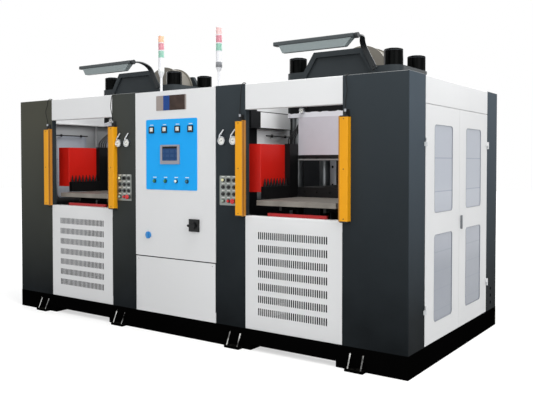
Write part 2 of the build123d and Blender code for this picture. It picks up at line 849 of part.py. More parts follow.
# Light curtains: yellow bars either side of each opening with the lens strip on the inner side,
# the connector and its tab on top, and the clip that holds the cable inside the cover.
bar_y = Y_FRONT - CURTAIN_D / 2
cable_rise = CABLE_TOP_RUN * 2**-0.5
turn_z = HEIGHT - CABLE_TURN_DROP
clip_y = bar_y + 2 * cable_rise + CABLE_TOP_RUN
clip_top = turn_z - CABLE_TOP_RUN
clip_d = clip_y + CLIP_W / 2 - Y_FRONT - SHEET
curtain_bars = [(x, bar_y) for x, side in CURTAIN_PLACES]
curtain_tops = [(x, CURTAIN_Z1 + CONNECTOR_H / 2) for x, side in CURTAIN_PLACES]
with BuildPart() as light_curtains:
    with BuildSketch(Plane.XY.offset(CURTAIN_Z0)):
        with Locations(*curtain_bars):
            Rectangle(CURTAIN_W, CURTAIN_D)
    extrude(amount=CURTAIN_Z1 - CURTAIN_Z0)
    chamfer(light_curtains.edges().filter_by(Axis.Z).group_by(Axis.Y)[0], CURTAIN_CHAMFER)
    with BuildSketch(Plane.XY.offset(CURTAIN_Z0)):
        with Locations(*[(x - side * (CURTAIN_W + LENS_W) / 2, bar_y) for x, side in CURTAIN_PLACES]):
            Rectangle(LENS_W, LENS_D)
    extrude(amount=CURTAIN_Z1 - CURTAIN_Z0)
    with BuildSketch(Plane.XY.offset(CURTAIN_Z1)):
        with Locations(*curtain_bars):
            Rectangle(TAB_W, CURTAIN_D)
    extrude(amount=TAB_T)
    with BuildSketch(front(Y_FRONT)):
        with Locations(*curtain_tops):
            Rectangle(TAB_W, CONNECTOR_H)
    extrude(amount=TAB_T)
    with BuildSketch(Plane.XY.offset(CURTAIN_Z1 + TAB_T)):
        with Locations(*curtain_bars):
            Circle(CONNECTOR_R)
    extrude(amount=CONNECTOR_H)
    with BuildSketch(Plane.XY.offset(clip_top - CLIP_H)):
        for (x, side), lean in zip(CURTAIN_PLACES, CABLE_LEAN):
            with Locations((x + lean[-1], Y_FRONT + SHEET + clip_d / 2)):
                Rectangle(CLIP_W, clip_d)
    extrude(amount=CLIP_H)
save(light_curtains, "light_curtains")


def arc_radii(points):
    """For each corner of a route: a share of its shorter run over the tangent of half its turn."""
    runs = [Vector(*b) - Vector(*a) for a, b in zip(points, points[1:])]
    half_turns = [radians(a.get_angle(b) / 2) for a, b in zip(runs, runs[1:])]
    shorter = [min(a.length, b.length) for a, b in zip(runs, runs[1:])]
    return [ARC_SHARE * run / tan(turn) for run, turn in zip(shorter, half_turns)]


def tube(points, radius):
    """A round tube of straight runs joined by tangent arcs along the points."""
    radii = arc_radii(points)
    print("arc radii", [round(r) for r in radii])
    with BuildPart() as body:
        with BuildLine() as route:
            FilletPolyline(*points, radius=radii)
        with BuildSketch(Plane(origin=route.line @ 0, z_dir=route.line % 0)):
            Circle(radius)
        sweep()
    return body.part


# Curtain cables: each rises from its connector, leans along the cover and turns over the top
# edge down to its clip. The lean differs from cable to cable.
cable_start = CURTAIN_Z1 + TAB_T + CONNECTOR_H
lean_start = cable_start + CABLE_FIRST_RUN
lean_run = (turn_z - lean_start) / 4
cables = []
for (x, side), lean in zip(CURTAIN_PLACES, CABLE_LEAN):
    top_x = x + lean[-1]
    route = [
        (x, bar_y, cable_start),
        (x, bar_y, lean_start),
        (x + lean[0], bar_y, lean_start + lean_run),
        (x + lean[1], bar_y - CABLE_R, lean_start + 2 * lean_run),
        (x + lean[2], bar_y - CABLE_R, lean_start + 3 * lean_run),
        (top_x, bar_y, turn_z),
        (top_x, bar_y + cable_rise, turn_z + cable_rise),
        (top_x, bar_y + cable_rise + CABLE_TOP_RUN, turn_z + cable_rise),
        (top_x, clip_y, turn_z),
        (top_x, clip_y, clip_top),
    ]
    cables.append(tube(route, CABLE_R))
with BuildPart() as curtain_cables:
    add(cables)
save(curtain_cables, "curtain_cables")


def copies(piece, places):
    """The piece, modelled about X = 0, repeated at each of the places along X."""
    with BuildPart() as repeated:
        with Locations(*[(x, 0) for x in places]):
            add(piece.part)
    return repeated


# Crowns: the fixed upper beam of each press, with flanges for the tie bars, a pedestal down to
# the upper platen, and recessed web plates that rise to a sloped hump at the front and back.
bar_grid = [(x * BAR_X, PRESS_Y + y * BAR_Y) for x in SIDES for y in SIDES]
with BuildSketch() as hump_outline:
    with BuildLine():
        Polyline(
            (-HUMP_FOOT_HALF, CROWN_Z0),
            (HUMP_FOOT_HALF, CROWN_Z0),
            (HUMP_FOOT_HALF, HUMP_FOOT_Z),
            (HUMP_TOP_HALF, HUMP_TOP),
            (-HUMP_TOP_HALF, HUMP_TOP),
            (-HUMP_FOOT_HALF, HUMP_FOOT_Z),
            close=True,
        )
    make_face()
with BuildSketch() as hump_recess:
    add(hump_outline.sketch)
    offset(amount=-HUMP_BORDER)
with BuildPart() as crown:
    with BuildSketch(Plane.XY.offset(UPPER_PLATEN_TOP)):
        with Locations((0, PRESS_Y)):
            Rectangle(2 * PEDESTAL_HALF_W, 2 * PEDESTAL_HALF_D)
    extrude(amount=CROWN_Z0 - UPPER_PLATEN_TOP)
    with BuildSketch(Plane.XY.offset(CROWN_Z0)):
        with Locations((0, PRESS_Y)):
            Rectangle(2 * (BAR_X - BAR_R - CROWN_WAIST_GAP), 2 * BOSS_HALF_D)
    extrude(amount=CROWN_TOP - CROWN_Z0)
    with BuildSketch(Plane.XY.offset(CROWN_Z0), Plane.XY.offset(CROWN_TOP - CROWN_FLANGE)):
        with Locations((0, PRESS_Y)):
            RectangleRounded(2 * BOSS_HALF_W, 2 * BOSS_HALF_D, BOSS_R)
        with Locations(*bar_grid):
            Circle(BAR_R + BAR_FIT, mode=Mode.SUBTRACT)
    extrude(amount=CROWN_FLANGE)
    with BuildSketch(front(HUMP_FACE)):
        add(hump_outline.sketch)
    extrude(amount=-HUMP_T)
    with BuildSketch(front(HUMP_FACE)):
        add(hump_recess.sketch)
    extrude(amount=-HUMP_SINK, mode=Mode.SUBTRACT)
    mirror(about=front(PRESS_Y))
save(copies(crown, STATION_X), "crowns")

# Tie bars: four round columns to each press, from the bed sockets up through the crown and nuts.
bed_top = PLINTH_H + BED_H
with BuildPart() as tie_bars:
    with BuildSketch(Plane.XY.offset(bed_top - BED_SOCKET)):
        with Locations(*bar_grid):
            Circle(BAR_R)
    extrude(amount=CROWN_TOP + NUT_H + BAR_PROUD - bed_top + BED_SOCKET)
save(copies(tie_bars, STATION_X), "tie_bars")

# Tie nuts: tall round nuts with spanner slots, seated on the crowns.
with BuildPart() as tie_nut:
    with BuildSketch(Plane.XY.offset(CROWN_TOP)):
        Circle(NUT_R)
    extrude(amount=NUT_H)
    chamfer(tie_nut.edges().group_by(Axis.Z)[-1], NUT_CHAMFER)
    with BuildSketch(Plane.XY.offset(CROWN_TOP)):
        Circle(BAR_R + BAR_FIT)
        with PolarLocations(NUT_R, NUT_SLOTS):
            Rectangle(2 * NUT_SLOT_D, NUT_SLOT_W)
    extrude(amount=NUT_H, mode=Mode.SUBTRACT)
with BuildPart() as tie_nuts:
    with Locations(*bar_grid):
        add(tie_nut.part)
save(copies(tie_nuts, STATION_X), "tie_nuts")

# Press beds: heavy castings on the cross members, with the tie bar sockets and the upright
# hydraulic cylinder, bored for the ram and closed by a wider gland.
cylinder_top = bed_top + CYLINDER_H
ram_foot = TABLE_Z0 - RAM_REACH
with BuildPart() as press_bed:
    with BuildSketch(Plane.XY.offset(PLINTH_H)):
        with Locations((0, PRESS_Y)):
            RectangleRounded(2 * BOSS_HALF_W, 2 * BOSS_HALF_D, BED_CORNER_R)
    extrude(amount=BED_H)
    chamfer(press_bed.edges().group_by(Axis.Z)[-1], BED_CHAMFER)
    with BuildSketch(Plane.XY.offset(bed_top)):
        with Locations((0, PRESS_Y)):
            Circle(CYLINDER_R)
    extrude(amount=CYLINDER_H)
    with BuildSketch(Plane.XY.offset(cylinder_top)):
        with Locations((0, PRESS_Y)):
            Circle(GLAND_R)
    extrude(amount=-GLAND_H)
    with BuildSketch(Plane.XY.offset(cylinder_top)):
        with Locations((0, PRESS_Y)):
            Circle(RAM_R + RUNNING_FIT)
    extrude(amount=ram_foot - RAM_END_GAP - cylinder_top, mode=Mode.SUBTRACT)
    with BuildSketch(Plane.XY.offset(bed_top)):
        with Locations(*bar_grid):
            Circle(BAR_R + BAR_FIT)
    extrude(amount=-BED_SOCKET, mode=Mode.SUBTRACT)
save(copies(press_bed, STATION_X), "press_beds")

# Upper platens: the heated plates under the crowns, with the heater bores along their fronts.
platen_front = PRESS_Y - PLATEN_HALF_D
platen_rear = PRESS_Y + PLATEN_HALF_D


def platen(z0, height):
    """A heated platen about X = 0, with its row of heater bores in the front face."""
    with BuildPart() as plate:
        with BuildSketch(Plane.XY.offset(z0)):
            with Locations((0, PRESS_Y)):
                Rectangle(2 * PLATEN_HALF_W, 2 * PLATEN_HALF_D)
        extrude(amount=height)
        with BuildSketch(front(platen_front)):
            with Locations((0, z0 + height / 2)):
                with GridLocations(2 * PLATEN_HALF_W / HEATER_HOLES, 0, HEATER_HOLES, 1):
                    Circle(HEATER_HOLE_R)
        extrude(amount=-HEATER_HOLE_D, mode=Mode.SUBTRACT)
    return plate


save(copies(platen(UPPER_PLATEN_Z0, UPPER_PLATEN_H), STATION_X), "upper_platens")

# Tables and lower platens: a ram, a ribbed table plate that reaches the front opening, and the
# lower heated platen on it. Each table and its platen rise together.
with BuildPart() as table:
    with BuildSketch(Plane.XY.offset(ram_foot)):
        with Locations((0, PRESS_Y)):
            Circle(RAM_R)
    extrude(amount=RAM_REACH)
    with BuildSketch(Plane.XY.offset(TABLE_Z0 - TABLE_RIB_H)):
        with Locations(*[(side * TABLE_RIB_X, (TABLE_RIB_FRONT + platen_rear) / 2) for side in SIDES]):
            Rectangle(TABLE_RIB_T, platen_rear - TABLE_RIB_FRONT)
    extrude(amount=TABLE_RIB_H)
    with BuildSketch(Plane.XY.offset(TABLE_Z0)):
        with Locations((0, (TABLE_FRONT + platen_rear) / 2)):
            Rectangle(2 * TABLE_HALF_W, platen_rear - TABLE_FRONT)
    extrude(amount=TABLE_T)
lower_platen = platen(TABLE_TOP, LOWER_PLATEN_H)
for side, x in zip(("left", "right"), STATION_X):
    save(copies(table, [x]), f"{side}_table")
    save(copies(lower_platen, [x]), f"{side}_lower_platen")

# Heat shields: bright sheets over the pedestal fronts.
with BuildPart() as heat_shield:
    with BuildSketch(front(PEDESTAL_FRONT)):
        with Locations((0, (UPPER_PLATEN_TOP + CROWN_Z0) / 2)):
            Rectangle(2 * PEDESTAL_HALF_W, CROWN_Z0 - UPPER_PLATEN_TOP)
    extrude(amount=SHEET)
save(copies(heat_shield, STATION_X), "heat_shields")

# Terminal boxes: a tall box held off the pedestal side by an arm plate, with a rack of cone
# pins standing in front of it.
box_out = -PEDESTAL_HALF_W - BOX_T
box_rear = BOX_FRONT + BOX_D
rack_top = BOX_Z0 + RACK_H
rack_l = BOX_FRONT - RACK_FRONT
with BuildPart() as terminal_box:
    with BuildSketch(Plane.XY.offset(BOX_Z0)):
        with Locations(((box_out - PEDESTAL_HALF_W) / 2, (BOX_FRONT + box_rear) / 2)):
            Rectangle(BOX_T, BOX_D)
    extrude(amount=BOX_Z1 - BOX_Z0)
    with BuildSketch(Plane.XY.offset(BOX_Z1 - BOX_ARM_DROP - BOX_ARM_H)):
        with Locations((-PEDESTAL_HALF_W - SHEET / 2, box_rear + BOX_ARM_L / 2)):
            Rectangle(SHEET, BOX_ARM_L)
    extrude(amount=BOX_ARM_H)
    with BuildSketch(Plane.XY.offset(BOX_Z0)):
        with Locations((-PLATEN_HALF_W - RACK_W / 2, BOX_FRONT - rack_l / 2)):
            Rectangle(RACK_W, rack_l)
    extrude(amount=RACK_H)
    with Locations((-PLATEN_HALF_W - RACK_W / 2, BOX_FRONT - rack_l / 2, rack_top)):
        with GridLocations(0, rack_l / CONES, 1, CONES):
            Cone(CONE_R, CONE_TIP_R, CONE_H, align=(Align.CENTER, Align.CENTER, Align.MIN))
save(copies(terminal_box, STATION_X), "terminal_boxes")

# Press hoses: four from the top of each terminal box up into the underside of the crown.
hose_x = -PEDESTAL_HALF_W - BOX_T / 2
hose_rise = (CROWN_Z0 - BOX_Z1 - 2 * HOSE_END_RUN) / 3
hoses = []
for y0, y1 in zip(HOSE_Y, HOSE_END_Y):
    route = [
        (hose_x, y0, BOX_Z1),
        (hose_x, y0, BOX_Z1 + HOSE_END_RUN),
        (hose_x + HOSE_SWAY, y0 + (y1 - y0) / 4, BOX_Z1 + HOSE_END_RUN + hose_rise),
        (hose_x + HOSE_SWAY, y1 - (y1 - y0) / 4, CROWN_Z0 - HOSE_END_RUN - hose_rise),
        (hose_x + HOSE_SWAY, y1, CROWN_Z0 - HOSE_END_RUN),
        (hose_x + HOSE_SWAY, y1, CROWN_Z0),
    ]
    hoses.append(tube(route, HOSE_R))
with BuildPart() as press_hose:
    add(hoses)
save(copies(press_hose, STATION_X), "press_hoses")

# Red guards: a folded upright guard in front of each terminal box, flared towards the opening,
# and a square bar along the sill.
with BuildPart() as red_guard:
    with BuildSketch(Plane.XY.offset(GUARD_Z0)):
        add(
            folded(
                (box_out + SHEET - GUARD_FLARE_X, GUARD_FRONT - GUARD_FLARE_Y),
                (box_out + SHEET, GUARD_FRONT),
                (box_out + SHEET, BOX_FRONT),
            )
        )
    extrude(amount=GUARD_Z1 - GUARD_Z0)
    with BuildSketch(Plane.XY.offset(SILL_Z)):
        with Locations((0, Y_FRONT + SILL_D - BAR_RED_T / 2)):
            Rectangle(2 * BAR_RED_HALF, BAR_RED_T)
    extrude(amount=BAR_RED_T)
save(copies(red_guard, STATION_X), "red_guards")

# Rear struts: flat uprights behind the presses, on the cross members, with two fixing holes each.
with BuildPart() as rear_strut:
    with BuildSketch(Plane.XY.offset(PLINTH_H)):
        with Locations(*[(side * STRUT_X, STRUT_Y + STRUT_T / 2) for side in SIDES]):
            Rectangle(STRUT_W, STRUT_T)
    extrude(amount=STRUT_TOP - PLINTH_H)
    with BuildSketch(front(STRUT_Y)):
        with Locations(*[(side * STRUT_X, z) for side in SIDES for z in STRUT_HOLE_Z]):
            Circle(STRUT_HOLE_R)
    extrude(amount=-STRUT_T, mode=Mode.SUBTRACT)
save(copies(rear_strut, STATION_X), "rear_struts")

# Prefill tanks: half-round vaults with rims, on top of the crowns between the humps.
vault_rear = PRESS_Y + BOSS_HALF_D - HUMP_T
vault_front = vault_rear - VAULT_L


def half_disc(radius):
    """The upper half of a disc that stands on the crown's top."""
    with BuildSketch() as half:
        with Locations((0, CROWN_TOP)):
            Circle(radius)
        with Locations((0, CROWN_TOP - radius)):
            Rectangle(2 * radius, 2 * radius, mode=Mode.SUBTRACT)
    return half.sketch


with BuildPart() as prefill_tank:
    with BuildSketch(front(vault_front)):
        add(half_disc(VAULT_R))
    extrude(amount=-VAULT_L)
    with BuildSketch(front(vault_front), front(vault_rear - VAULT_RIM_L)):
        add(half_disc(VAULT_R + VAULT_RIM))
    extrude(amount=-VAULT_RIM_L)
save(copies(prefill_tank, STATION_X), "prefill_tanks")

# Lamp arms: a flat bar along the slope of each hump, and a bent tube to the bored eye that
# holds the lamp's trunnion.
lamp_z = LAMP_Z0 + LAMP_H / 2
eye_x = LAMP_HALF + ARM_EYE_GAP
with BuildPart() as lamp_arm:
    with BuildSketch(front(HUMP_FACE)):
        with BuildLine():
            Line(ARM_FOOT, ARM_HEAD)
        trace(line_width=ARM_W)
    extrude(amount=ARM_T)
    with BuildLine() as arm_path:
        FilletPolyline(
            (ARM_HEAD[0], HUMP_FACE - ARM_T / 2, ARM_HEAD[1] - ARM_R),
            (ARM_HEAD[0] + ARM_R, HUMP_FACE - ARM_OUT[0], ARM_TOP),
            (eye_x, HUMP_FACE - ARM_OUT[1], ARM_TOP),
            (eye_x + ARM_EYE_T - ARM_TUCK, LAMP_Y + ARM_TUCK, lamp_z),
            radius=ARM_BEND_R,
        )
    with BuildSketch(Plane(origin=arm_path.line @ 0, z_dir=arm_path.line % 0)):
        Circle(ARM_R)
    sweep()
    with BuildSketch(Plane.YZ.offset(eye_x)):
        with Locations((LAMP_Y, lamp_z)):
            Circle(ARM_EYE_R)
    extrude(amount=ARM_EYE_T)
    with BuildSketch(Plane.YZ.offset(eye_x)):
        with Locations((LAMP_Y, lamp_z)):
            Circle(LAMP_TRUNNION_R + RUNNING_FIT)
    extrude(amount=LAMP_TRUNNION_L, mode=Mode.SUBTRACT)
save(copies(lamp_arm, STATION_X), "lamp_arms")

# Work lamps: a long housing with its trunnion, and the tapered light cover under it.
with BuildPart() as lamp_housing:
    with BuildSketch(Plane.YZ.offset(-LAMP_HALF)):
        with Locations((LAMP_Y, lamp_z)):
            RectangleRounded(LAMP_D, LAMP_H, LAMP_EDGE_R)
    extrude(amount=2 * LAMP_HALF)
    with BuildSketch(Plane.YZ.offset(LAMP_HALF)):
        with Locations((LAMP_Y, lamp_z)):
            Circle(LAMP_TRUNNION_R)
    extrude(amount=LAMP_TRUNNION_L)
with BuildPart() as lamp_cover:
    with BuildSketch(Plane.XY.offset(LAMP_Z0)):
        with Locations((sum(SHADE_TOP_X) / 2, LAMP_Y)):
            Rectangle(SHADE_TOP_X[1] - SHADE_TOP_X[0], SHADE_TOP_D)
    with BuildSketch(Plane.XY.offset(LAMP_Z0 - SHADE_H)):
        with Locations((sum(SHADE_FOOT_X) / 2, LAMP_Y)):
            Rectangle(SHADE_FOOT_X[1] - SHADE_FOOT_X[0], SHADE_FOOT_D)
    loft()
for side, x in zip(("left", "right"), STATION_X):
    save(copies(lamp_housing, [x]), f"{side}_lamp_housing")
    save(copies(lamp_cover, [x]), f"{side}_lamp_cover")

# Power unit: the oil tank on skids behind the cabinet, with the motor and pump on its lid.
tank_z0 = PLINTH_H + SKID_H
tank_top = tank_z0 + TANK_H
shaft_z = tank_top + MOTOR_FOOT_H + MOTOR_R
with BuildPart() as power_unit:
    with BuildSketch(Plane.XY.offset(PLINTH_H)):
        with Locations(*[(0, TANK_Y + side * SKID_Y) for side in SIDES]):
            Rectangle(2 * X_PILLAR + RAIL_W, SKID_W)
    extrude(amount=SKID_H)
    with BuildSketch(Plane.XY.offset(tank_z0)):
        with Locations((0, TANK_Y)):
            Rectangle(TANK_W, TANK_D)
    extrude(amount=TANK_H)
    with BuildSketch(Plane.XY.offset(tank_top)):
        with Locations((MOTOR_X + MOTOR_L / 2, TANK_Y)):
            Rectangle(MOTOR_L / 2, MOTOR_R)
    extrude(amount=MOTOR_FOOT_H + MOTOR_R / 2)
    with BuildSketch(Plane.YZ.offset(MOTOR_X)):
        with Locations((TANK_Y, shaft_z)):
            Circle(MOTOR_R)
    extrude(amount=MOTOR_L)
    with BuildSketch(Plane.YZ.offset(MOTOR_X + MOTOR_L)):
        with Locations((TANK_Y, shaft_z)):
            Circle(PUMP_R)
    extrude(amount=PUMP_L)
save(power_unit, "power_unit")

# Wall rails: a cable duct and a knobbed rod on the cabinet's right wall, and a knobbed rod from
# the left corner cover's return.
with BuildPart() as wall_rails:
    with BuildSketch(Plane.YZ.offset(X_CAB)):
        with Locations((DUCT_Y0 + DUCT_L / 2, DUCT_Z0 + DUCT_H / 2)):
            Rectangle(DUCT_L, DUCT_H)
    extrude(amount=DUCT_T)
    with BuildSketch(Plane.YZ.offset(X_CAB)):
        with Locations(*[(y, ROD_RIGHT_Z) for y in KNOB_RIGHT_Y]):
            Circle(RAIL_R)
    extrude(amount=ROD_OUT)
    with BuildSketch(front(ROD_RIGHT_Y[0])):
        with Locations((X_CAB + ROD_OUT, ROD_RIGHT_Z)):
            Circle(RAIL_R)
    extrude(amount=ROD_RIGHT_Y[0] - ROD_RIGHT_Y[1])
    with Locations(*[(X_CAB + ROD_OUT, y, ROD_RIGHT_Z) for y in KNOB_RIGHT_Y]):
        Sphere(KNOB_R)
    with BuildSketch(front(Y_STRIP)):
        with Locations((ROD_LEFT_X, ROD_LEFT_Z)):
            Circle(RAIL_R)
    extrude(amount=-ROD_LEFT_L)
    with Locations(*[(ROD_LEFT_X, y, ROD_LEFT_Z) for y in KNOB_LEFT_Y]):
        Sphere(KNOB_R)
save(wall_rails, "wall_rails")

# Cabinet door: a sheet tray with solid corner blocks round the two pivot bores, cut through for
# the screen, the main switch and the lock.
door_h = DOOR_Z1 - DOOR_Z0
door_mid_z = (DOOR_Z0 + DOOR_Z1) / 2
door_d = DOOR_BACK - Y_FRONT
screen_body_w = SCREEN_W - 2 * SCREEN_BODY_EDGE
screen_body_h = SCREEN_H - 2 * SCREEN_BODY_EDGE
pin_depth = DOOR_PIN_L - FACE_GAP + DOOR_PIN_END_GAP
block_h = pin_depth + DOOR_PIN_END_GAP + SHEET
with BuildPart() as cabinet_door:
    with BuildSketch(front(DOOR_BACK)):
        with Locations((0, door_mid_z)):
            Rectangle(2 * DOOR_HALF_W, door_h)
    extrude(amount=door_d)
    with BuildSketch(front(DOOR_BACK)):
        with Locations((0, door_mid_z)):
            Rectangle(2 * (DOOR_HALF_W - SHEET), door_h - 2 * SHEET)
    extrude(amount=door_d - SHEET, mode=Mode.SUBTRACT)
    with BuildSketch(Plane.XY.offset(DOOR_Z0), Plane.XY.offset(DOOR_Z1 - block_h)):
        with Locations((DOOR_HALF_W - DOOR_BLOCK / 2, Y_FRONT + DOOR_BLOCK / 2)):
            Rectangle(DOOR_BLOCK, DOOR_BLOCK)
    extrude(amount=block_h)
    with BuildSketch(Plane.XY.offset(DOOR_Z0), Plane.XY.offset(DOOR_Z1 - pin_depth)):
        with Locations((PIN_X, PIN_Y)):
            Circle(DOOR_PIN_R + RUNNING_FIT)
    extrude(amount=pin_depth, mode=Mode.SUBTRACT)
    with BuildSketch(front(Y_FRONT)):
        with Locations((SCREEN_X, SCREEN_Z)):
            Rectangle(screen_body_w + 2 * SCREEN_FIT, screen_body_h + 2 * SCREEN_FIT)
        with Locations((LOCK_X, LOCK_Z)):
            Circle(LOCK_SHAFT_R + RUNNING_FIT)
    extrude(amount=-SHEET, mode=Mode.SUBTRACT)
save(cabinet_door, "cabinet_door")

# Door plates: the blue instrument panel, cut out for the screen, and the plate above it.
with BuildPart() as door_plates:
    with BuildSketch(front(Y_FRONT)):
        with Locations(((PANEL_X0 + PANEL_X1) / 2, (PANEL_Z0 + PANEL_Z1) / 2)):
            RectangleRounded(PANEL_X1 - PANEL_X0, PANEL_Z1 - PANEL_Z0, PANEL_R)
        with Locations((SCREEN_X, SCREEN_Z)):
            Rectangle(screen_body_w + 2 * SCREEN_FIT, screen_body_h + 2 * SCREEN_FIT, mode=Mode.SUBTRACT)
        with Locations(((NAME_X0 + NAME_X1) / 2, (NAME_Z0 + NAME_Z1) / 2)):
            RectangleRounded(NAME_X1 - NAME_X0, NAME_Z1 - NAME_Z0, NAME_R)
    extrude(amount=PLATE_T)
save(door_plates, "door_plates")

# Touch screen: a bezel over the panel with a sunk screen, and its body behind the door.
with BuildPart() as touch_screen:
    with BuildSketch(front(PANEL_FACE)):
        with Locations((SCREEN_X, SCREEN_Z)):
            RectangleRounded(SCREEN_W, SCREEN_H, SCREEN_R)
    extrude(amount=SCREEN_PROUD)
    with BuildSketch(front(PANEL_FACE - SCREEN_PROUD)):
        with Locations((SCREEN_X, SCREEN_Z + SCREEN_VIEW_UP)):
            Rectangle(SCREEN_VIEW_W, SCREEN_VIEW_H)
    extrude(amount=-SCREEN_SINK, mode=Mode.SUBTRACT)
    with BuildSketch(front(PANEL_FACE)):
        with Locations((SCREEN_X, SCREEN_Z)):
            Rectangle(screen_body_w, screen_body_h)
    extrude(amount=-SCREEN_BODY_D)
save(touch_screen, "touch_screen")

# Door instruments: four square meters, the bored rings of the four push buttons and the bored
# base of the main switch.
switch_face = Y_FRONT - SWITCH_BASE_H
with BuildPart() as door_instruments:
    with BuildSketch(front(PANEL_FACE)):
        with Locations(*[(x, METER_Z) for x in METER_X]):
            Rectangle(METER_SIZE, METER_SIZE)
    extrude(amount=METER_PROUD)
    with BuildSketch(front(PANEL_FACE - METER_PROUD)):
        with Locations(*[(x, METER_Z) for x in METER_X]):
            Rectangle(METER_SIZE - 2 * METER_FRAME, METER_SIZE - 2 * METER_FRAME)
    extrude(amount=-METER_SINK, mode=Mode.SUBTRACT)
    with BuildSketch(front(PANEL_FACE)):
        with Locations(*[(x, BUTTON_Z) for x in BUTTON_X]):
            Circle(BUTTON_RING_R)
            Circle(BUTTON_R + RUNNING_FIT, mode=Mode.SUBTRACT)
    extrude(amount=BUTTON_RING_H)
    with BuildSketch(front(Y_FRONT)):
        with Locations((SWITCH_X, SWITCH_Z)):
            Rectangle(SWITCH_BASE, SWITCH_BASE)
    extrude(amount=SWITCH_BASE_H - SWITCH_CHAMFER)
    with BuildSketch(front(switch_face + SWITCH_CHAMFER)):
        with Locations((SWITCH_X, SWITCH_Z)):
            Rectangle(SWITCH_BASE, SWITCH_BASE)
    extrude(amount=SWITCH_CHAMFER, taper=45)
    with BuildSketch(front(switch_face)):
        with Locations((SWITCH_X, SWITCH_Z)):
            Circle(SWITCH_SHAFT_R + RUNNING_FIT)
    extrude(amount=-SWITCH_SHAFT_L, mode=Mode.SUBTRACT)
save(door_instruments, "door_instruments")

# Push buttons: round caps that run in the rings of the instrument panel.
for name, x in zip(BUTTON_NAMES, BUTTON_X):
    button_back = PANEL_FACE - BUTTON_TRAVEL - BUTTON_STOP
    with BuildPart() as push_button:
        with BuildSketch(front(button_back)):
            with Locations((x, BUTTON_Z)):
                Circle(BUTTON_R)
        extrude(amount=button_back - PANEL_FACE + BUTTON_RING_H + BUTTON_PROUD)
    save(push_button, name)

# Switch handle: a disc and a grip bar on a shaft in the switch base.
with BuildPart() as switch_handle:
    with BuildSketch(front(switch_face - FACE_GAP)):
        with Locations((SWITCH_X, SWITCH_Z)):
            Circle(SWITCH_SHAFT_R)
    extrude(amount=-SWITCH_SHAFT_L)
    with BuildSketch(front(switch_face - FACE_GAP)):
        with Locations((SWITCH_X, SWITCH_Z)):
            Circle(SWITCH_DISC_R)
    extrude(amount=SWITCH_DISC_H)
    with BuildSketch(front(switch_face - FACE_GAP - SWITCH_DISC_H)):
        with Locations((SWITCH_X, SWITCH_Z)):
            SlotOverall(SWITCH_GRIP_L, SWITCH_GRIP_W)
    extrude(amount=SWITCH_GRIP_H)
save(switch_handle, "switch_handle")

# Door lock: a disc with a wing in front of the door, and a tongue behind it on the same shaft.
with BuildPart() as door_lock:
    with BuildSketch(front(Y_FRONT - FACE_GAP)):
        with Locations((LOCK_X, LOCK_Z)):
            Circle(LOCK_R)
    extrude(amount=LOCK_H)
    with BuildSketch(front(Y_FRONT - FACE_GAP - LOCK_H)):
        with Locations((LOCK_X, LOCK_Z)):
            SlotOverall(2 * LOCK_R, LOCK_WING_W, rotation=90)
    extrude(amount=LOCK_WING_H)
    with BuildSketch(front(Y_FRONT - FACE_GAP)):
        with Locations((LOCK_X, LOCK_Z)):
            Circle(LOCK_SHAFT_R)
    extrude(amount=-SHEET - 2 * FACE_GAP)
    with BuildSketch(front(Y_FRONT + SHEET + FACE_GAP)):
        with Locations((LOCK_X - LOCK_TONGUE_L / 2 + LOCK_TONGUE_W / 2, LOCK_Z)):
            SlotOverall(LOCK_TONGUE_L, LOCK_TONGUE_W)
    extrude(amount=-LOCK_TONGUE_T)
save(door_lock, "door_lock")

# Side doors: on each side two sheet trays with rounded windows and lift-off hinges, their panes,
# and a drop handle on the rear leaf.
leaf_w = -Y_STRIP - SIDE_GAP
leaf_h = SIDE_HEAD_Z - SIDE_GAP - PLINTH_H - SIDE_GAP
leaf_mid_y = SIDE_GAP / 2 + leaf_w / 2
leaf_mid_z = PLINTH_H + SIDE_GAP + leaf_h / 2
handle_pivot_z = HANDLE_Z - HANDLE_W / 2


def windows(y_sign, lap):
    """The outlines of a leaf's two windows, widened all round by a lap."""
    with BuildSketch() as openings:
        for low, high in (WINDOW_LOWER, WINDOW_UPPER):
            with Locations((y_sign * (WINDOW_Y0 + WINDOW_Y1) / 2, (low + high) / 2)):
                RectangleRounded(WINDOW_Y1 - WINDOW_Y0 + 2 * lap, high - low + 2 * lap, WINDOW_R + lap)
    return openings.sketch


def side_leaf(y_sign):
    """A right-hand leaf: a tray cut out for its windows, the rear one bored for its handle."""
    hinges = hinge_halves(y_sign, moving=True)
    with BuildPart() as leaf:
        with BuildSketch(Plane.YZ.offset(X_OUT - SIDE_DOOR_D)):
            with Locations((y_sign * leaf_mid_y, leaf_mid_z)):
                Rectangle(leaf_w, leaf_h)
        extrude(amount=SIDE_DOOR_D)
        with BuildSketch(Plane.YZ.offset(X_OUT - SIDE_DOOR_D)):
            with Locations((y_sign * leaf_mid_y, leaf_mid_z)):
                Rectangle(leaf_w - 2 * SHEET, leaf_h - 2 * SHEET)
        extrude(amount=SIDE_DOOR_D - SHEET, mode=Mode.SUBTRACT)
        with BuildSketch(Plane.YZ.offset(X_OUT)):
            add(windows(y_sign, 0))
            if y_sign > 0:
                with Locations((HANDLE_Y, handle_pivot_z)):
                    Circle(HANDLE_SHAFT_R + RUNNING_FIT)
        extrude(amount=-SHEET, mode=Mode.SUBTRACT)
        add(hinges)
    return leaf.part


def panes(y_sign):
    """The clear panes fixed behind a right-hand leaf's windows."""
    with BuildPart() as glazing:
        with BuildSketch(Plane.YZ.offset(X_OUT - SHEET)):
            add(windows(y_sign, PANE_LAP))
        extrude(amount=-PANE_T)
    return glazing.part


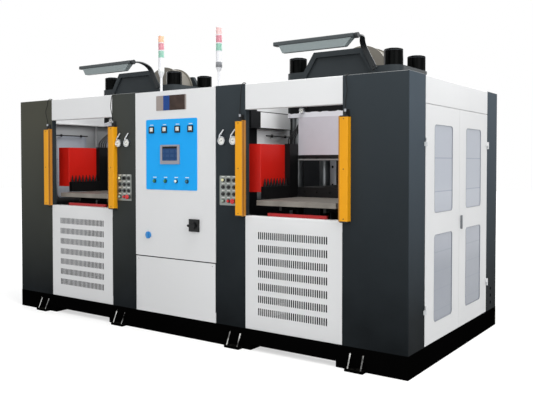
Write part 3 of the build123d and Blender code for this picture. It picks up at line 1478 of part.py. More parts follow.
with BuildPart() as side_handle:
    with BuildSketch(Plane.YZ.offset(X_OUT + FACE_GAP)):
        with Locations((HANDLE_Y, HANDLE_Z - HANDLE_L / 2)):
            SlotOverall(HANDLE_L, HANDLE_W, rotation=90)
    extrude(amount=HANDLE_T)
    with BuildSketch(Plane.YZ.offset(X_OUT + FACE_GAP)):
        with Locations((HANDLE_Y, handle_pivot_z)):
            Circle(HANDLE_SHAFT_R)
    extrude(amount=-SHEET - 2 * FACE_GAP)
    with BuildSketch(Plane.YZ.offset(X_OUT - SHEET - FACE_GAP)):
        with Locations((HANDLE_Y, handle_pivot_z)):
            Circle(HANDLE_W / 2)
    extrude(amount=-HANDLE_CAM_T)

for side in ("left", "right"):
    for end, y_sign in (("front", -1), ("rear", 1)):
        for kind, piece in (("door", side_leaf(y_sign)), ("windows", panes(y_sign))):
            with BuildPart() as placed:
                if side == "right":
                    add(piece)
                else:
                    mirror(piece, about=Plane.YZ)
            save(placed, f"{side}_{end}_{kind}")
    with BuildPart() as placed:
        if side == "right":
            add(side_handle.part)
        else:
            mirror(side_handle.part, about=Plane.YZ)
    save(placed, f"{side}_side_handle")
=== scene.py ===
import math

import bmesh
import bpy
import numpy as np
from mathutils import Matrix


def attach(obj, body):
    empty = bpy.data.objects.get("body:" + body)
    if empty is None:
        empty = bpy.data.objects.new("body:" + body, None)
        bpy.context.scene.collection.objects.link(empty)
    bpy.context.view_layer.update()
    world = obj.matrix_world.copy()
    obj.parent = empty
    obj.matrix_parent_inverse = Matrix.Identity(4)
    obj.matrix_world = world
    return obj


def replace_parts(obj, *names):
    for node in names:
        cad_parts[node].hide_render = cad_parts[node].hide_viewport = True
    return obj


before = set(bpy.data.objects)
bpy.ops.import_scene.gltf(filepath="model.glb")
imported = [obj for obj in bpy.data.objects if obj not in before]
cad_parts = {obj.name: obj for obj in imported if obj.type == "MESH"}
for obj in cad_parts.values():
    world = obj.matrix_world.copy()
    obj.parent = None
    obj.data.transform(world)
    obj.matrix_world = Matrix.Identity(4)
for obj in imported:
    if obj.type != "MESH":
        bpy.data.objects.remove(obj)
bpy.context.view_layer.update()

# Camera: a pinhole fitted to the straight edges of the photograph, off the right front corner
# at about eye height. Its shift is only the one that the framing needs.
lens = bpy.data.cameras.new("camera")
lens.lens, lens.sensor_width, lens.shift_y = 45.71, 36.0, -0.0386
camera = bpy.data.objects.new("camera", lens)
camera.location = (3.96822, -5.26049, 1.48104)
camera.rotation_euler = (math.pi / 2 - 0.0250834, 0, 0.6125720)
bpy.context.scene.collection.objects.link(camera)
bpy.context.scene.camera = camera
bpy.context.scene.view_settings.view_transform = "Standard"

# Studio: a plain pale floor that fades to the white background, a white room for reflections,
# and broad soft lamps without colour on all sides.
class Wire:
    """One socket in a material. Arithmetic and comparisons with wires or numbers add Math nodes."""

    def __init__(self, finish, socket):
        self.finish, self.socket = finish, socket

    def math(self, operation, first, second):
        return self.finish.node("Math", {"operation": operation}, {0: first, 1: second})

    def __add__(self, other):
        return self.math("ADD", self, other)

    def __sub__(self, other):
        return self.math("SUBTRACT", self, other)

    def __rsub__(self, other):
        return self.math("SUBTRACT", other, self)

    def __mul__(self, other):
        return self.math("MULTIPLY", self, other)

    def __pow__(self, other):
        return self.math("POWER", self, other)

    def __mod__(self, other):
        return self.math("FLOORED_MODULO", self, other)

    def __lt__(self, other):
        return self.math("LESS_THAN", self, other)

    def __gt__(self, other):
        return self.math("GREATER_THAN", self, other)

    def __abs__(self):
        return self.math("ABSOLUTE", self, 0.0)

    __radd__, __rmul__ = __add__, __mul__


def paint(hex_code):
    """Linear colour of a screen colour: each channel c becomes ((c + 0.055) / 1.055) to the power 2.4."""
    channels = [int(hex_code[i : i + 2], 16) / 255 for i in (1, 3, 5)]
    return [((c + 0.055) / 1.055) ** 2.4 if c > 0.04045 else c / 12.92 for c in channels] + [1.0]


def shaded(colour, factor):
    """A linear colour made lighter or darker by a factor, at most 1 in each channel."""
    return [min(c * factor, 1.0) for c in colour[:3]] + [1.0]


class Finish:
    """A material with one Principled shader; constants go straight on its sockets."""

    def __init__(self, name, **constants):
        self.material = bpy.data.materials.new(name)
        self.material.use_nodes = True
        self.tree = self.material.node_tree
        self.tree.nodes.clear()
        self.shader = self.tree.nodes.new("ShaderNodeBsdfPrincipled")
        out = self.tree.nodes.new("ShaderNodeOutputMaterial")
        self.tree.links.new(self.shader.outputs[0], out.inputs["Surface"])
        self.surface = out.inputs["Surface"]
        self.set(**constants)
        self.place = self.node("TexCoord", {}, {}, "Object")

    def set(self, **sockets):
        """Feeds the shader's sockets; an underscore in a name stands for a space."""
        for name, value in sockets.items():
            self.feed(self.shader.inputs[name.replace("_", " ")], value)

    def feed(self, socket, value):
        if isinstance(value, Wire):
            self.tree.links.new(value.socket, socket)
        else:
            socket.default_value = value

    def node(self, kind, settings, inputs, output=0):
        """Any node: its settings first, then values or wires for its sockets."""
        made = self.tree.nodes.new("ShaderNode" + kind)
        for name, value in settings.items():
            setattr(made, name, value)
        for name, value in inputs.items():
            self.feed(made.inputs[name], value)
        return Wire(self, made.outputs[output])

    def mix(self, factor, first, second):
        """Colour from first to second as factor goes from 0 to 1."""
        return self.node("Mix", {"data_type": "RGBA"}, {0: factor, 6: first, 7: second}, 2)

    def ramp(self, value, low, high):
        """0 below low, 1 above high, straight between."""
        limits = {"Value": value, "From Min": low, "From Max": high}
        return self.node("MapRange", {"clamp": True}, limits)

    def noise(self, scale, detail=3.0, stretch=(1.0, 1.0, 1.0)):
        """Cloud noise from 0 to 1; a stretch below 1 draws it out along that axis."""
        place = self.node("Mapping", {}, {"Vector": self.place, "Scale": stretch})
        return self.node("TexNoise", {}, {"Vector": place, "Scale": scale, "Detail": detail})

    def axis(self, name):
        return self.node("SeparateXYZ", {}, {"Vector": self.place}, name)

    def between(self, value, low, high):
        """1 where a value is between two limits, else 0."""
        return (value > low) * (value < high)

    def within(self, axis, low, high):
        """1 between two places on an axis, in metres, else 0."""
        return self.between(self.axis(axis), low, high)

    def facing(self, axis):
        """How far the surface faces along an axis, from -1 to 1."""
        return self.node("SeparateXYZ", {}, {"Vector": self.node("NewGeometry", {}, {}, "Normal")}, axis)

    def band(self, axis, places, half):
        """1 within half a band's width of each of the places on an axis, in metres, else 0."""
        lines = [abs(self.axis(axis) - place) < half for place in places]
        return sum(lines[1:], lines[0])

    def recolour(self, mask, colour):
        """Another colour where the mask is 1, over what is there."""
        self.shade = self.mix(mask, self.shade, paint(colour))
        self.set(Base_Color=self.shade)

    def bump(self, height, distance, strength=1.0):
        return self.node("Bump", {}, {"Height": height, "Distance": distance, "Strength": strength})


# Metres: half the part's footprint, and where the floor's glow starts and stops to grow.
UNDER_X, UNDER_Y = 2.12, 0.86
FADE_FROM, FADE_TO = 3.5, 9.0
FLOOR_GLOW, RIM_GLOW = 0.55, 0.45
ROOM_LEVEL, WHITE_LEVEL = 0.55, 1.0
AIM_POINT = np.array([0.0, 0.0, 1.0])
ground = bpy.data.meshes.new("floor")
ground.from_pydata([(-30, -30, 0), (30, -30, 0), (30, 30, 0), (-30, 30, 0)], [], [(0, 1, 2, 3)])
floor = bpy.data.objects.new("floor", ground)
bpy.context.scene.collection.objects.link(floor)
pale = Finish("pale floor", Roughness=0.9, Specular_IOR_Level=0.0)
pale.set(Base_Color=pale.mix(pale.noise(0.6), paint("#B8B8B8"), paint("#BEBEBD")))
seen = pale.node("LightPath", {}, {}, "Is Camera Ray") + pale.node("LightPath", {}, {}, "Is Glossy Ray")
seen = seen + pale.node("LightPath", {}, {}, "Is Transmission Ray")
reach = (pale.axis("X") ** 2.0 + pale.axis("Y") ** 2.0) ** 0.5
under = (abs(pale.axis("X")) < UNDER_X) * (abs(pale.axis("Y")) < UNDER_Y)
strength = FLOOR_GLOW + pale.ramp(reach, FADE_FROM, FADE_TO) * RIM_GLOW
strength = strength * (1 - under) * (seen > 0.5)
glow = pale.node("Emission", {}, {"Color": (1, 1, 1, 1), "Strength": strength})
pale.feed(pale.surface, pale.node("AddShader", {}, {0: Wire(pale, pale.shader.outputs[0]), 1: glow}))
ground.materials.append(pale.material)

world = bpy.data.worlds.new("studio")
bpy.context.scene.world = world
world.use_nodes = True
backdrop = world.node_tree.nodes["Background"]
paths = world.node_tree.nodes.new("ShaderNodeLightPath")
total = paths.outputs["Is Camera Ray"]
for ray in ("Is Glossy Ray", "Is Transmission Ray"):
    added = world.node_tree.nodes.new("ShaderNodeMath")
    added.operation, added.use_clamp = "ADD", True
    world.node_tree.links.new(total, added.inputs[0])
    world.node_tree.links.new(paths.outputs[ray], added.inputs[1])
    total = added.outputs[0]
level = world.node_tree.nodes.new("ShaderNodeMapRange")
world.node_tree.links.new(total, level.inputs["Value"])
level.inputs["To Min"].default_value = ROOM_LEVEL
level.inputs["To Max"].default_value = WHITE_LEVEL
world.node_tree.links.new(level.outputs[0], backdrop.inputs["Strength"])
backdrop.inputs["Color"].default_value = (1, 1, 1, 1)

LAMPS = (  # place in metres, size, watts
    ((2.6, -7.8, 2.3), 5.0, 140),
    ((-4.5, -6.5, 5.0), 5.0, 80),
    ((7.6, -3.6, 3.8), 4.5, 185),
    ((-7.0, 2.0, 4.4), 4.5, 190),
    ((2.0, 7.5, 4.8), 5.0, 240),
    ((2.3, -0.9, 6.4), 4.0, 350),
)
for number, (place, size, power) in enumerate(LAMPS):
    light = bpy.data.lights.new(f"softbox{number}", "AREA")
    light.shape, light.size, light.energy = "DISK", size, power
    softbox = bpy.data.objects.new(f"softbox{number}", light)
    softbox.location = place
    aim = AIM_POINT - place
    tilt = math.atan2(math.hypot(aim[0], aim[1]), -aim[2])
    softbox.rotation_euler = (tilt, 0, math.atan2(aim[1], aim[0]) - math.pi / 2)
    bpy.context.scene.collection.objects.link(softbox)


def painted(name, colour, roughness=0.45, drift=0.06, dust=0.1, shine=0.3, shade_to_floor=0.0):
    """Sprayed metal: colour drifts slowly, orange peel in the bump, dust on upward faces, wiped patches
    in the gloss, and a patchy painted shade that darkens the colour towards the floor."""
    made = Finish(name, IOR=1.5, Specular_IOR_Level=shine)
    wiped = made.noise(5.0, 4.0, (1.0, 1.0, 0.25))
    base = paint(colour)
    cloud = made.ramp(made.noise(1.3, 4.0), 0.3, 0.7)
    shade = made.mix(cloud, shaded(base, 1 - drift), shaded(base, 1 + drift))
    # Painted shade: the colour darkens towards the floor, in patches, as strongly as shade_to_floor asks.
    if shade_to_floor:
        low = (1 - made.ramp(made.axis("Z"), 0.1, 2.1)) * (0.75 + made.noise(2.5, 4.0) * 0.5) * shade_to_floor
        shade = made.mix(low, shade, shaded(base, 0.18))
    settled = made.ramp(made.facing("Z"), 0.6, 1.0) * made.ramp(made.noise(22.0, 5.0), 0.3, 0.8) * dust
    shade = made.mix(settled, shade, paint("#B9B4A8"))
    made.shade = shade
    made.set(Base_Color=shade, Roughness=roughness + (wiped - 0.5) * 0.18 + settled * 0.5)
    made.set(Normal=made.bump(made.noise(420.0, 2.0), 0.0004, 0.25))
    return made


def dress(finish, *nodes):
    """Gives CAD nodes their finish."""
    for node in nodes:
        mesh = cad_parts[node].data
        mesh.materials.clear()
        mesh.materials.append(finish.material)


# Base frame: channel rails and cross members welded into one frame with gusseted foot pads. It is
# painted black, pale in patches on the slopes of the gussets, and lies on the floor.
frame_black = painted("frame black", "#040404", 0.6, 0.2, 0.02, 0.0)
sloped = frame_black.between(frame_black.facing("Z"), 0.2, 0.95) * (abs(frame_black.facing("Y")) > 0.2)
frame_black.recolour(sloped * frame_black.ramp(frame_black.noise(9.0), 0.32, 0.58), "#D2D2CF")
dress(frame_black, "base_frame")

# Corner and pillar covers: folded 3 mm sheet, dark grey powder coat, standing on the frame. Their
# cut top edges are bare and catch the light as a thin pale line, and the hinge halves are pale.
# The covers take the painted shade towards the floor at full strength.
cover_coat = painted("cover coat", "#363C40", 0.6, 0.05, 0.12, 0.02, 1.0)
# Painted light: at the machine's left end the front and left faces are lighter and warmer, more so higher
# up.
left_painted_light = 1 - cover_coat.ramp(cover_coat.axis("X"), -1.5, 0.3)
left_painted_light = left_painted_light * cover_coat.ramp(cover_coat.axis("Z"), 0.2, 1.9)
other_ways = (cover_coat.facing("Y") > -0.5) * (cover_coat.facing("X") > -0.5)
cover_coat.recolour(left_painted_light * (1 - other_ways) * 0.9, "#4E4E45")
# Painted light: the side faces at the right end are lighter and bluer higher up.
side_painted_light = (abs(cover_coat.facing("X")) > 0.7) * cover_coat.ramp(cover_coat.axis("Z"), 0.4, 1.9)
cover_coat.recolour(side_painted_light * (cover_coat.axis("X") > 2.0) * 0.8, "#4A545D")
cover_coat.recolour(abs(cover_coat.axis("X")) > 2.1386, "#C4C7C9")
dress(cover_coat, "front_corner_covers", "rear_corner_covers", "pillar_covers")


def grid(points, round_u=False, round_v=False):
    """A shape from a sheet of points[u, v], one face to each cell, closed round where asked."""
    points = np.asarray(points, float)
    index = np.arange(points.shape[0] * points.shape[1]).reshape(points.shape[:2])
    if round_u:
        index = np.vstack([index, index[:1]])
    if round_v:
        index = np.hstack([index, index[:, :1]])
    cells = np.stack([index[:-1, :-1], index[1:, :-1], index[1:, 1:], index[:-1, 1:]], -1)
    return points.reshape(-1, 3), cells.reshape(-1, 4).tolist()


def together(*shapes):
    """Several shapes as one, the face numbers of each moved on past the points before it."""
    starts = np.cumsum([0] + [len(points) for points, faces in shapes])
    faces = [[i + start for i in face] for (points, cells), start in zip(shapes, starts) for face in cells]
    return np.vstack([points for points, cells in shapes]), faces


def stack(outlines, heights):
    """Outlines (n points of u, v) laid over each other at heights along w, walls between, ends capped."""
    rings = [np.column_stack([line, np.full(len(line), w)]) for line, w in zip(outlines, heights)]
    points, faces = grid(rings, round_v=True)
    count = len(outlines[0])
    return points, faces + [list(range(count)), list(range(len(points) - count, len(points)))]


def rounded(width, height, radius, steps=4):
    """Rounded rectangle: quarter circles of the radius about the four corner centres."""
    turn = np.linspace(0, np.pi / 2, steps + 1)
    corners = []
    for quarter, (sx, sy) in enumerate(((1, 1), (-1, 1), (-1, -1), (1, -1))):
        angle = turn + quarter * np.pi / 2
        centre = np.array([sx * (width / 2 - radius), sy * (height / 2 - radius)])
        corners.append(centre + radius * np.column_stack([np.cos(angle), np.sin(angle)]))
    return np.vstack(corners)


def slab(width, height, thickness, radius=1.0, edge=0.6):
    """A plate with rounded corners whose front edge is eased by a 45 degree step."""
    outlines = [rounded(width, height, radius)] * 2
    outlines.append(rounded(width - 2 * edge, height - 2 * edge, max(radius - edge, 0.1)))
    return stack(outlines, [0, thickness - edge, thickness])


FACING = {  # for each way out, the directions of u, v and w
    "front": np.array([(1, 0, 0), (0, 0, 1), (0, -1, 0)], float),
    "right": np.array([(0, 1, 0), (0, 0, 1), (1, 0, 0)], float),
    "left": np.array([(0, -1, 0), (0, 0, 1), (-1, 0, 0)], float),
    "up": np.array([(1, 0, 0), (0, 1, 0), (0, 0, 1)], float),
}


def placed(shape, places, facing="front"):
    """The shape turned to face a way out and repeated at each of the places."""
    turned_points = shape[0] @ FACING[facing]
    return together(*[(turned_points + np.array(place, float), shape[1]) for place in places])


def piece(name, body, finish, shape, crease=35):
    """Makes the object from a shape in millimetres: doubles merged, faces out, edges over the crease
    angle sharp. It rides on the body."""
    mesh = bpy.data.meshes.new(name)
    mesh.from_pydata((shape[0] * 0.001).tolist(), [], shape[1])
    build = bmesh.new()
    build.from_mesh(mesh)
    bmesh.ops.remove_doubles(build, verts=build.verts, dist=1e-6)
    bmesh.ops.dissolve_degenerate(build, edges=build.edges, dist=1e-7)
    bmesh.ops.recalc_face_normals(build, faces=build.faces)
    build.to_mesh(mesh)
    build.free()
    mesh.polygons.foreach_set("use_smooth", np.ones(len(mesh.polygons), bool))
    mesh.set_sharp_from_angle(angle=math.radians(crease))
    mesh.materials.append(finish.material)
    made = bpy.data.objects.new(name, mesh)
    bpy.context.scene.collection.objects.link(made)
    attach(made, body)
    return made


def metal(name, colour, roughness=0.3, stretch=(1.0, 1.0, 0.02), stain=0.2, grain=300.0, bare=1.0):
    """Bare metal: machining lines drawn along one axis, oily stains in colour and gloss."""
    made = Finish(name, Metallic=bare)
    lines = made.noise(grain, 3.0, stretch)
    oil = made.ramp(made.noise(7.0, 5.0), 0.4, 0.75)
    base = paint(colour)
    made.shade = made.mix(oil * 0.7 + lines * 0.3, base, shaded(base, 1 - stain))
    made.set(Base_Color=made.shade)
    made.set(Roughness=roughness + (lines - 0.5) * 0.2 + oil * 0.12, Normal=made.bump(lines, 0.0003, 0.3))
    return made


edge_steel = metal("cut edge", "#B4B6B6", 0.5, (1.0, 1.0, 1.0), 0.3, 80.0)

# Millimetres: the enclosure's front, side and top, where the side doors start, the depth of a
# fold, the sheet, the bare edge, and the inner ends of the covers along the front.
FRONT_Y, SIDE_X, TOP_Z = -990, 2138, 2100.0
LEAF_Y, FOLD = 702, 50
SHEET, EDGE_T = 3.0, 1.5
CORNER_X, PILLAR_IN, PILLAR_OUT = 1630, 462, 764


def edge_strip(corners):
    """A strip as wide as the sheet along a level line of corners, its inner side offset by the mitre."""
    line = np.array(corners, float)
    runs = np.diff(line, axis=0)
    sides = np.column_stack([-runs[:, 1], runs[:, 0]]) / np.linalg.norm(runs, axis=1)[:, None]
    first, last = np.vstack([sides[:1], sides]), np.vstack([sides, sides[-1:]])
    mitre = (first + last) / (1 + np.sum(first * last, axis=1))[:, None]
    section = [(0, TOP_Z), (0, TOP_Z + EDGE_T), (SHEET, TOP_Z + EDGE_T), (SHEET, TOP_Z)]
    rings = [np.column_stack([line + mitre * across, np.full(len(line), z)]) for across, z in section]
    points, faces = grid(rings, round_u=True)
    count = len(line)
    return points, faces + [[i * count for i in range(4)], [i * count + count - 1 for i in range(4)]]


corner_line = [(CORNER_X, FRONT_Y + FOLD), (CORNER_X, FRONT_Y), (SIDE_X, FRONT_Y)]
corner_line += [(SIDE_X, -LEAF_Y), (SIDE_X - FOLD, -LEAF_Y)]
pillar_line = [(PILLAR_IN, FRONT_Y + FOLD), (PILLAR_IN, FRONT_Y)]
pillar_line += [(PILLAR_OUT, FRONT_Y), (PILLAR_OUT, FRONT_Y + FOLD)]
strips = []
for line in (corner_line, pillar_line):
    mirrored = [(-x, y) for x, y in reversed(line)]
    strips += [edge_strip(line), edge_strip(mirrored)]
strips.append(edge_strip([(x, -y) for x, y in reversed(corner_line)]))
strips.append(edge_strip([(-x, -y) for x, y in corner_line]))
piece("cover_edges", "machine", edge_steel, together(*strips), 20)

# Top panels, rear panels, cabinet case and the panels over the side doors: folded sheets in a light
# grey powder coat, screwed to the frame from inside. Painted shade darkens their faces inside the stations,
# and painted light whitens the case's side walls.
# The last value is the painted shade that darkens the coat towards the floor.
PANEL = ("#D8D9DA", 0.42, 0.015, 0.06, 0.3, 0.14)
panel_coat = painted("panel coat", *PANEL)
dress(panel_coat, "top_panels")
rear_coat = painted("rear panel coat", *PANEL)
# Painted shade: the rear panels' inner faces are near black.
rear_coat.recolour(rear_coat.facing("Y") < -0.5, "#15171A")
dress(rear_coat, "rear_panels")
case_coat = painted("case coat", *PANEL)
# Painted light: the case's faces across X are whiter than the coat.
case_coat.recolour(abs(case_coat.facing("X")) > 0.5, "#F2F3F4")
# Upward faces take a darker dusty grey: dust, and painted shade against the overhead light.
case_coat.recolour(case_coat.ramp(case_coat.facing("Z"), 0.6, 1.0) * 0.7, "#A9A8A3")
# Painted shade on the case's side walls facing the stations: near black along the front strip, and dark
# below the table, fading out up to 1.4 m.
outer_faces = case_coat.axis("X") * case_coat.facing("X") > 0.4
front_painted_shade = (case_coat.axis("Y") < -0.417) * (case_coat.axis("Z") < 2.04)
case_coat.recolour(outer_faces * front_painted_shade, "#101214")
case_coat.recolour(outer_faces * (1 - case_coat.ramp(case_coat.axis("Z"), 1.12, 1.4)), "#141517")
# Painted shade: the case front is dark where it shows through the seam over the foot panel.
seam_painted_shade = case_coat.within("Z", 0.63, 0.682) * (case_coat.facing("Y") < -0.5)
case_coat.recolour(seam_painted_shade, "#101214")
dress(case_coat, "cabinet_case")

# Lower panels: a vent panel under each opening with seven rows of punched slots and a deep sill
# folded back from its top, and the plain folded panel at the foot of the cabinet.
SLOTS, SLOT_SPAN, SLOT_W, SLOT_H = 33, 620.0, 11.0, 59.0
ROWS, ROW_PITCH, ROW_MID = 7, 99.5, 612.5
STATIONS, PANEL_HALF = (-1197, 1197), 433
PLINTH_Z, SILL_Z, SILL_D, BEND = 166, 1060, 90, 6.0


def vent_panel(centre_x):
    """A folded sheet: lines along x by stations along its section, the cells of the slot field swapped
    for punched ones."""
    pitch = (SLOT_SPAN - SLOT_W) / (SLOTS - 1)
    cell_x = centre_x + (np.arange(SLOTS + 1) - SLOTS / 2) * pitch
    slot_x = np.sort(np.append(cell_x, cell_x[:-1] + pitch / 2))
    x_lines = np.concatenate([[centre_x - PANEL_HALF], slot_x, [centre_x + PANEL_HALF]])
    row_z = ROW_MID + (np.arange(ROWS + 1) - ROWS / 2) * ROW_PITCH
    half = (SLOT_H - SLOT_W) / 2
    slot_z = row_z[:-1] + ROW_PITCH / 2
    cell_z = np.sort(np.concatenate([row_z, slot_z - half, slot_z + half]))
    arc = np.linspace(0, np.pi / 2, 5)

    def section(inset):
        """The section, y and z, at a depth below the outer face: two quarter bends and the flats."""
        reach = BEND - inset
        low = np.column_stack([FRONT_Y + BEND - reach * np.sin(arc), PLINTH_Z + BEND - reach * np.cos(arc)])
        high = np.column_stack([FRONT_Y + BEND - reach * np.cos(arc), SILL_Z - BEND + reach * np.sin(arc)])
        flat = np.column_stack([np.full(len(cell_z), FRONT_Y + inset), cell_z])
        first, last = (FRONT_Y + FOLD, PLINTH_Z + inset), (FRONT_Y + SILL_D, SILL_Z - inset)
        return np.vstack([[first], low, flat, high, [last]])

    layers, shapes = [section(0), section(SHEET)], []
    first_row, columns = 1 + len(arc), len(x_lines)
    field = range(first_row, first_row + len(cell_z) - 1)

    def in_field(corner):
        """Whether the cell that starts at this point number lies in the field of slots."""
        return corner // columns in field and 1 <= corner % columns < columns - 2

    for layer in layers:
        points, faces = grid([np.column_stack([x_lines, np.full((columns, 2), (y, z))]) for y, z in layer])
        shapes.append((points, [face for face in faces if not in_field(face[0])]))
    for x in x_lines[[0, -1]]:
        shapes.append(grid([np.column_stack([np.full(len(layer), x), layer]) for layer in layers]))
    for end in (0, -1):
        edge = [np.column_stack([x_lines, np.full((columns, 2), layer[end])]) for layer in layers]
        shapes.append(grid(edge))

    turn = np.linspace(0, np.pi, 5)
    upper = np.column_stack([np.cos(turn), np.sin(turn)]) * SLOT_W / 2 + (0, half)
    lower = np.column_stack([np.cos(turn + np.pi), np.sin(turn + np.pi)]) * SLOT_W / 2 - (0, half)
    slot = np.vstack([upper, lower])
    w, h = pitch / 2, ROW_PITCH / 2
    cell = np.array(
        [(w, half), (w, h), (0, h), (-w, h), (-w, half), (-w, -half), (-w, -h), (0, -h), (w, -h), (w, -half)]
    )
    steps = [(cell, FRONT_Y), (slot, FRONT_Y), (slot, FRONT_Y + SHEET), (cell, FRONT_Y + SHEET)]
    rings = [np.column_stack([ring[:, 0], np.full(len(ring), y), ring[:, 1]]) for ring, y in steps]
    points, faces = grid(rings, round_v=True)
    middles = [(x + w, 0, z + h) for x in cell_x[:-1] for z in row_z[:-1]]
    shapes += [(points + np.array(middle), faces) for middle in middles]
    return together(*shapes)


def folded_panel(half_width, z0, z1, back_y):
    """A plain panel folded back on both sides: its plan section, both walls, carried from z0 to z1."""
    arc = np.linspace(0, np.pi / 2, 5)

    def plan(inset):
        reach = BEND - inset
        x, y = half_width - BEND + reach * np.cos(arc), FRONT_Y + BEND - reach * np.sin(arc)
        right = np.vstack([[(half_width - inset, back_y)], np.column_stack([x, y])])
        return np.vstack([right, right[::-1] * (-1, 1)])

    line = np.vstack([plan(0), plan(SHEET)[::-1]])
    rings = [np.column_stack([line, np.full(len(line), z)]) for z in (z0, z1)]
    points, faces = grid(rings, round_v=True)
    half, count = len(line) // 2, len(line)
    for base in (0, count):
        last = base + count - 1
        faces += [[base + i, base + i + 1, last - 1 - i, last - i] for i in range(half - 1)]
    return points, faces


vent_coat = painted("vent coat", *PANEL)
# Painted shade: the slot walls and the back of the sheet are dark.
vent_coat.recolour(vent_coat.within("Z", 0.25, 0.98) * (vent_coat.facing("Y") > -0.9), "#303234")
foot_panel = folded_panel(half_width=459.5, z0=PLINTH_Z, z1=651, back_y=-965)
vents = together(*[vent_panel(x) for x in STATIONS], foot_panel)
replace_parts(piece("vent_panels", "machine", vent_coat, vents, 25), "lower_panels")

# Gear plate inside the cabinet: galvanised sheet with grey ducts, and pale and dark breakers,
# contactors and drives screwed to it.
gear = Finish("gear plate", Metallic=0.0, IOR=1.5)
depth = gear.axis("Y")
height = gear.axis("Z")
devices = depth < 0.08
ducting = devices * ((height - 0.353) % 0.39 < 0.045)
spangle = gear.node("TexVoronoi", {}, {"Vector": gear.place, "Scale": 45.0})
zinc = gear.mix(spangle, paint("#B9BDBD"), paint("#9DA1A2"))
gear_shade = gear.mix(devices, zinc, gear.mix(gear.noise(9.0), paint("#3B3E40"), paint("#C8CAC8")))
gear.set(Base_Color=gear.mix(ducting, gear_shade, paint("#A9ADB0")), Roughness=0.35 + gear.noise(30.0) * 0.3)
gear.set(Normal=gear.bump(gear.noise(120.0), 0.0006, 0.4))
dress(gear, "gear_plate")

# Signal towers: white moulded bodies on flared poles, three ribbed lens rings each and a low cap.
# The lenses are pale because they are unlit, and a collar holds each body on its pole.
tower_coat = painted("tower coat", "#D3D4D8", 0.4, 0.02, 0.1)
dress(tower_coat, "signal_towers")


def turned(profile, steps=32):
    """A profile of radius and height carried round w."""
    angle = np.linspace(0, 2 * np.pi, steps, endpoint=False)
    profile = np.array(profile, float)
    rings = [np.column_stack([r * np.cos(angle), r * np.sin(angle), np.full(steps, w)]) for r, w in profile]
    return grid(rings, round_v=True)


TOWER_PLACES = [(-335, -790, 0), (335, -790, 0)]
LENS_Z, LENS_PITCH = 2421, 68
rib = np.linspace(0, 1, 25)
lens_parts, ring_parts = [], []
for number in range(3):
    z0 = LENS_Z + LENS_PITCH * number
    lens_r = 26.2 + 0.7 * np.abs(np.sin(rib * np.pi * 8))
    body_line = np.column_stack([lens_r, z0 + 3 + 60 * rib])
    closed = np.vstack([[(23, z0 + 3)], body_line, [(23, z0 + 63)], [(23, z0 + 3)]])
    lens_parts.append(placed(turned(closed, 40), TOWER_PLACES, "up"))
    ring_line = [(24, z0 - 2), (27.4, z0 - 1), (27.4, z0 + 2), (24, z0 + 3), (24, z0 - 2)]
    ring_parts.append(placed(turned(ring_line, 40), TOWER_PLACES, "up"))
lens_clear = Finish("tower lens", IOR=1.5, Roughness=0.25, Specular_IOR_Level=0.5)
tall = lens_clear.axis("Z")
top = lens_clear.mix(lens_clear.axis("X") > 0, paint("#DD9C72"), paint("#D2A5A3"))
middle_z, top_z = (LENS_Z + LENS_PITCH - 1) / 1000, (LENS_Z + 2 * LENS_PITCH - 1) / 1000
upper = lens_clear.mix(tall > middle_z, paint("#5E9E88"), paint("#B5586C"))
upper = lens_clear.mix(tall > top_z, upper, top)
lens_clear.set(Base_Color=lens_clear.mix(lens_clear.noise(60.0) * 0.25, upper, paint("#F4F4F4")))
lens_clear.set(Normal=lens_clear.bump(lens_clear.noise(200.0), 0.0003, 0.3))
piece("tower_lenses", "machine", lens_clear, together(*lens_parts), 50)
cap_profile = [(0, 2627.5), (20, 2627.2), (25.5, 2625), (26.8, 2621), (26.8, 2618)]
cap_profile += [(23, 2618), (23, 2624), (0, 2624.9)]
ring_parts.append(placed(turned(cap_profile, 40), TOWER_PLACES, "up"))
piece("tower_rings", "machine", tower_coat, together(*ring_parts), 50)


def moulded(name, colour, roughness=0.35, drift=0.05, **constants):
    """Moulded plastic: faint colour drift, fine spark-eroded texture, handling marks in the gloss."""
    made = Finish(name, IOR=1.48, **constants)
    base = paint(colour)
    made.shade = made.mix(made.noise(30.0, 3.0), shaded(base, 1 - drift), shaded(base, 1 + drift))
    made.set(Base_Color=made.shade)
    made.set(Roughness=roughness + (made.noise(60.0, 4.0) - 0.5) * 0.2)
    made.set(Normal=made.bump(made.noise(900.0, 2.0), 0.0002, 0.3))
    return made


collar_grey = moulded("collar grey", "#6E7074", 0.35)
collar_grey.recolour(collar_grey.axis("X") < 0, "#C9CCCC")
collar_line = [(26, 2284), (27.6, 2286), (27.6, 2328), (26, 2330), (24, 2330), (24, 2284), (26, 2284)]
collar = turned(collar_line, 40)
piece("tower_collars", "machine", collar_grey, placed(collar, TOWER_PLACES, "up"), 40)

# Pillar gauges: chrome cases on bent chrome stems, a white printed dial under the lip of each and
# a black needle. The small gauge on each crown is made the same way.
chrome = metal("chrome", "#C3C5C8", 0.24, (1.0, 1.0, 1.0), 0.15, 40.0)
dress(chrome, "pressure_gauges")
GAUGES = [(x, -1016, 1656, 34.0, turn) for x, turn in ((-661, 200), (-553, 215), (539, 205), (656, 190))]
GAUGES += [(x - 338, -316, 1926, 24.0, 210) for x in STATIONS]
dial_white = moulded("dial white", "#DEDED9", 0.5, 0.02)
needle_black = moulded("needle black", "#18191A", 0.4)


def bar_mark(r0, r1, degrees, width, w0, w1):
    """A flat mark on a dial from radius r0 to r1, tapered to half its width at the tip."""
    turn = math.radians(degrees)
    out, across = np.array([math.cos(turn), math.sin(turn)]), np.array([-math.sin(turn), math.cos(turn)])
    outline = [out * r0 - across * width / 2, out * r1 - across * width / 4, out * r1 + across * width / 4]
    return stack([np.array(outline + [out * r0 + across * width / 2])] * 2, [w0, w1])


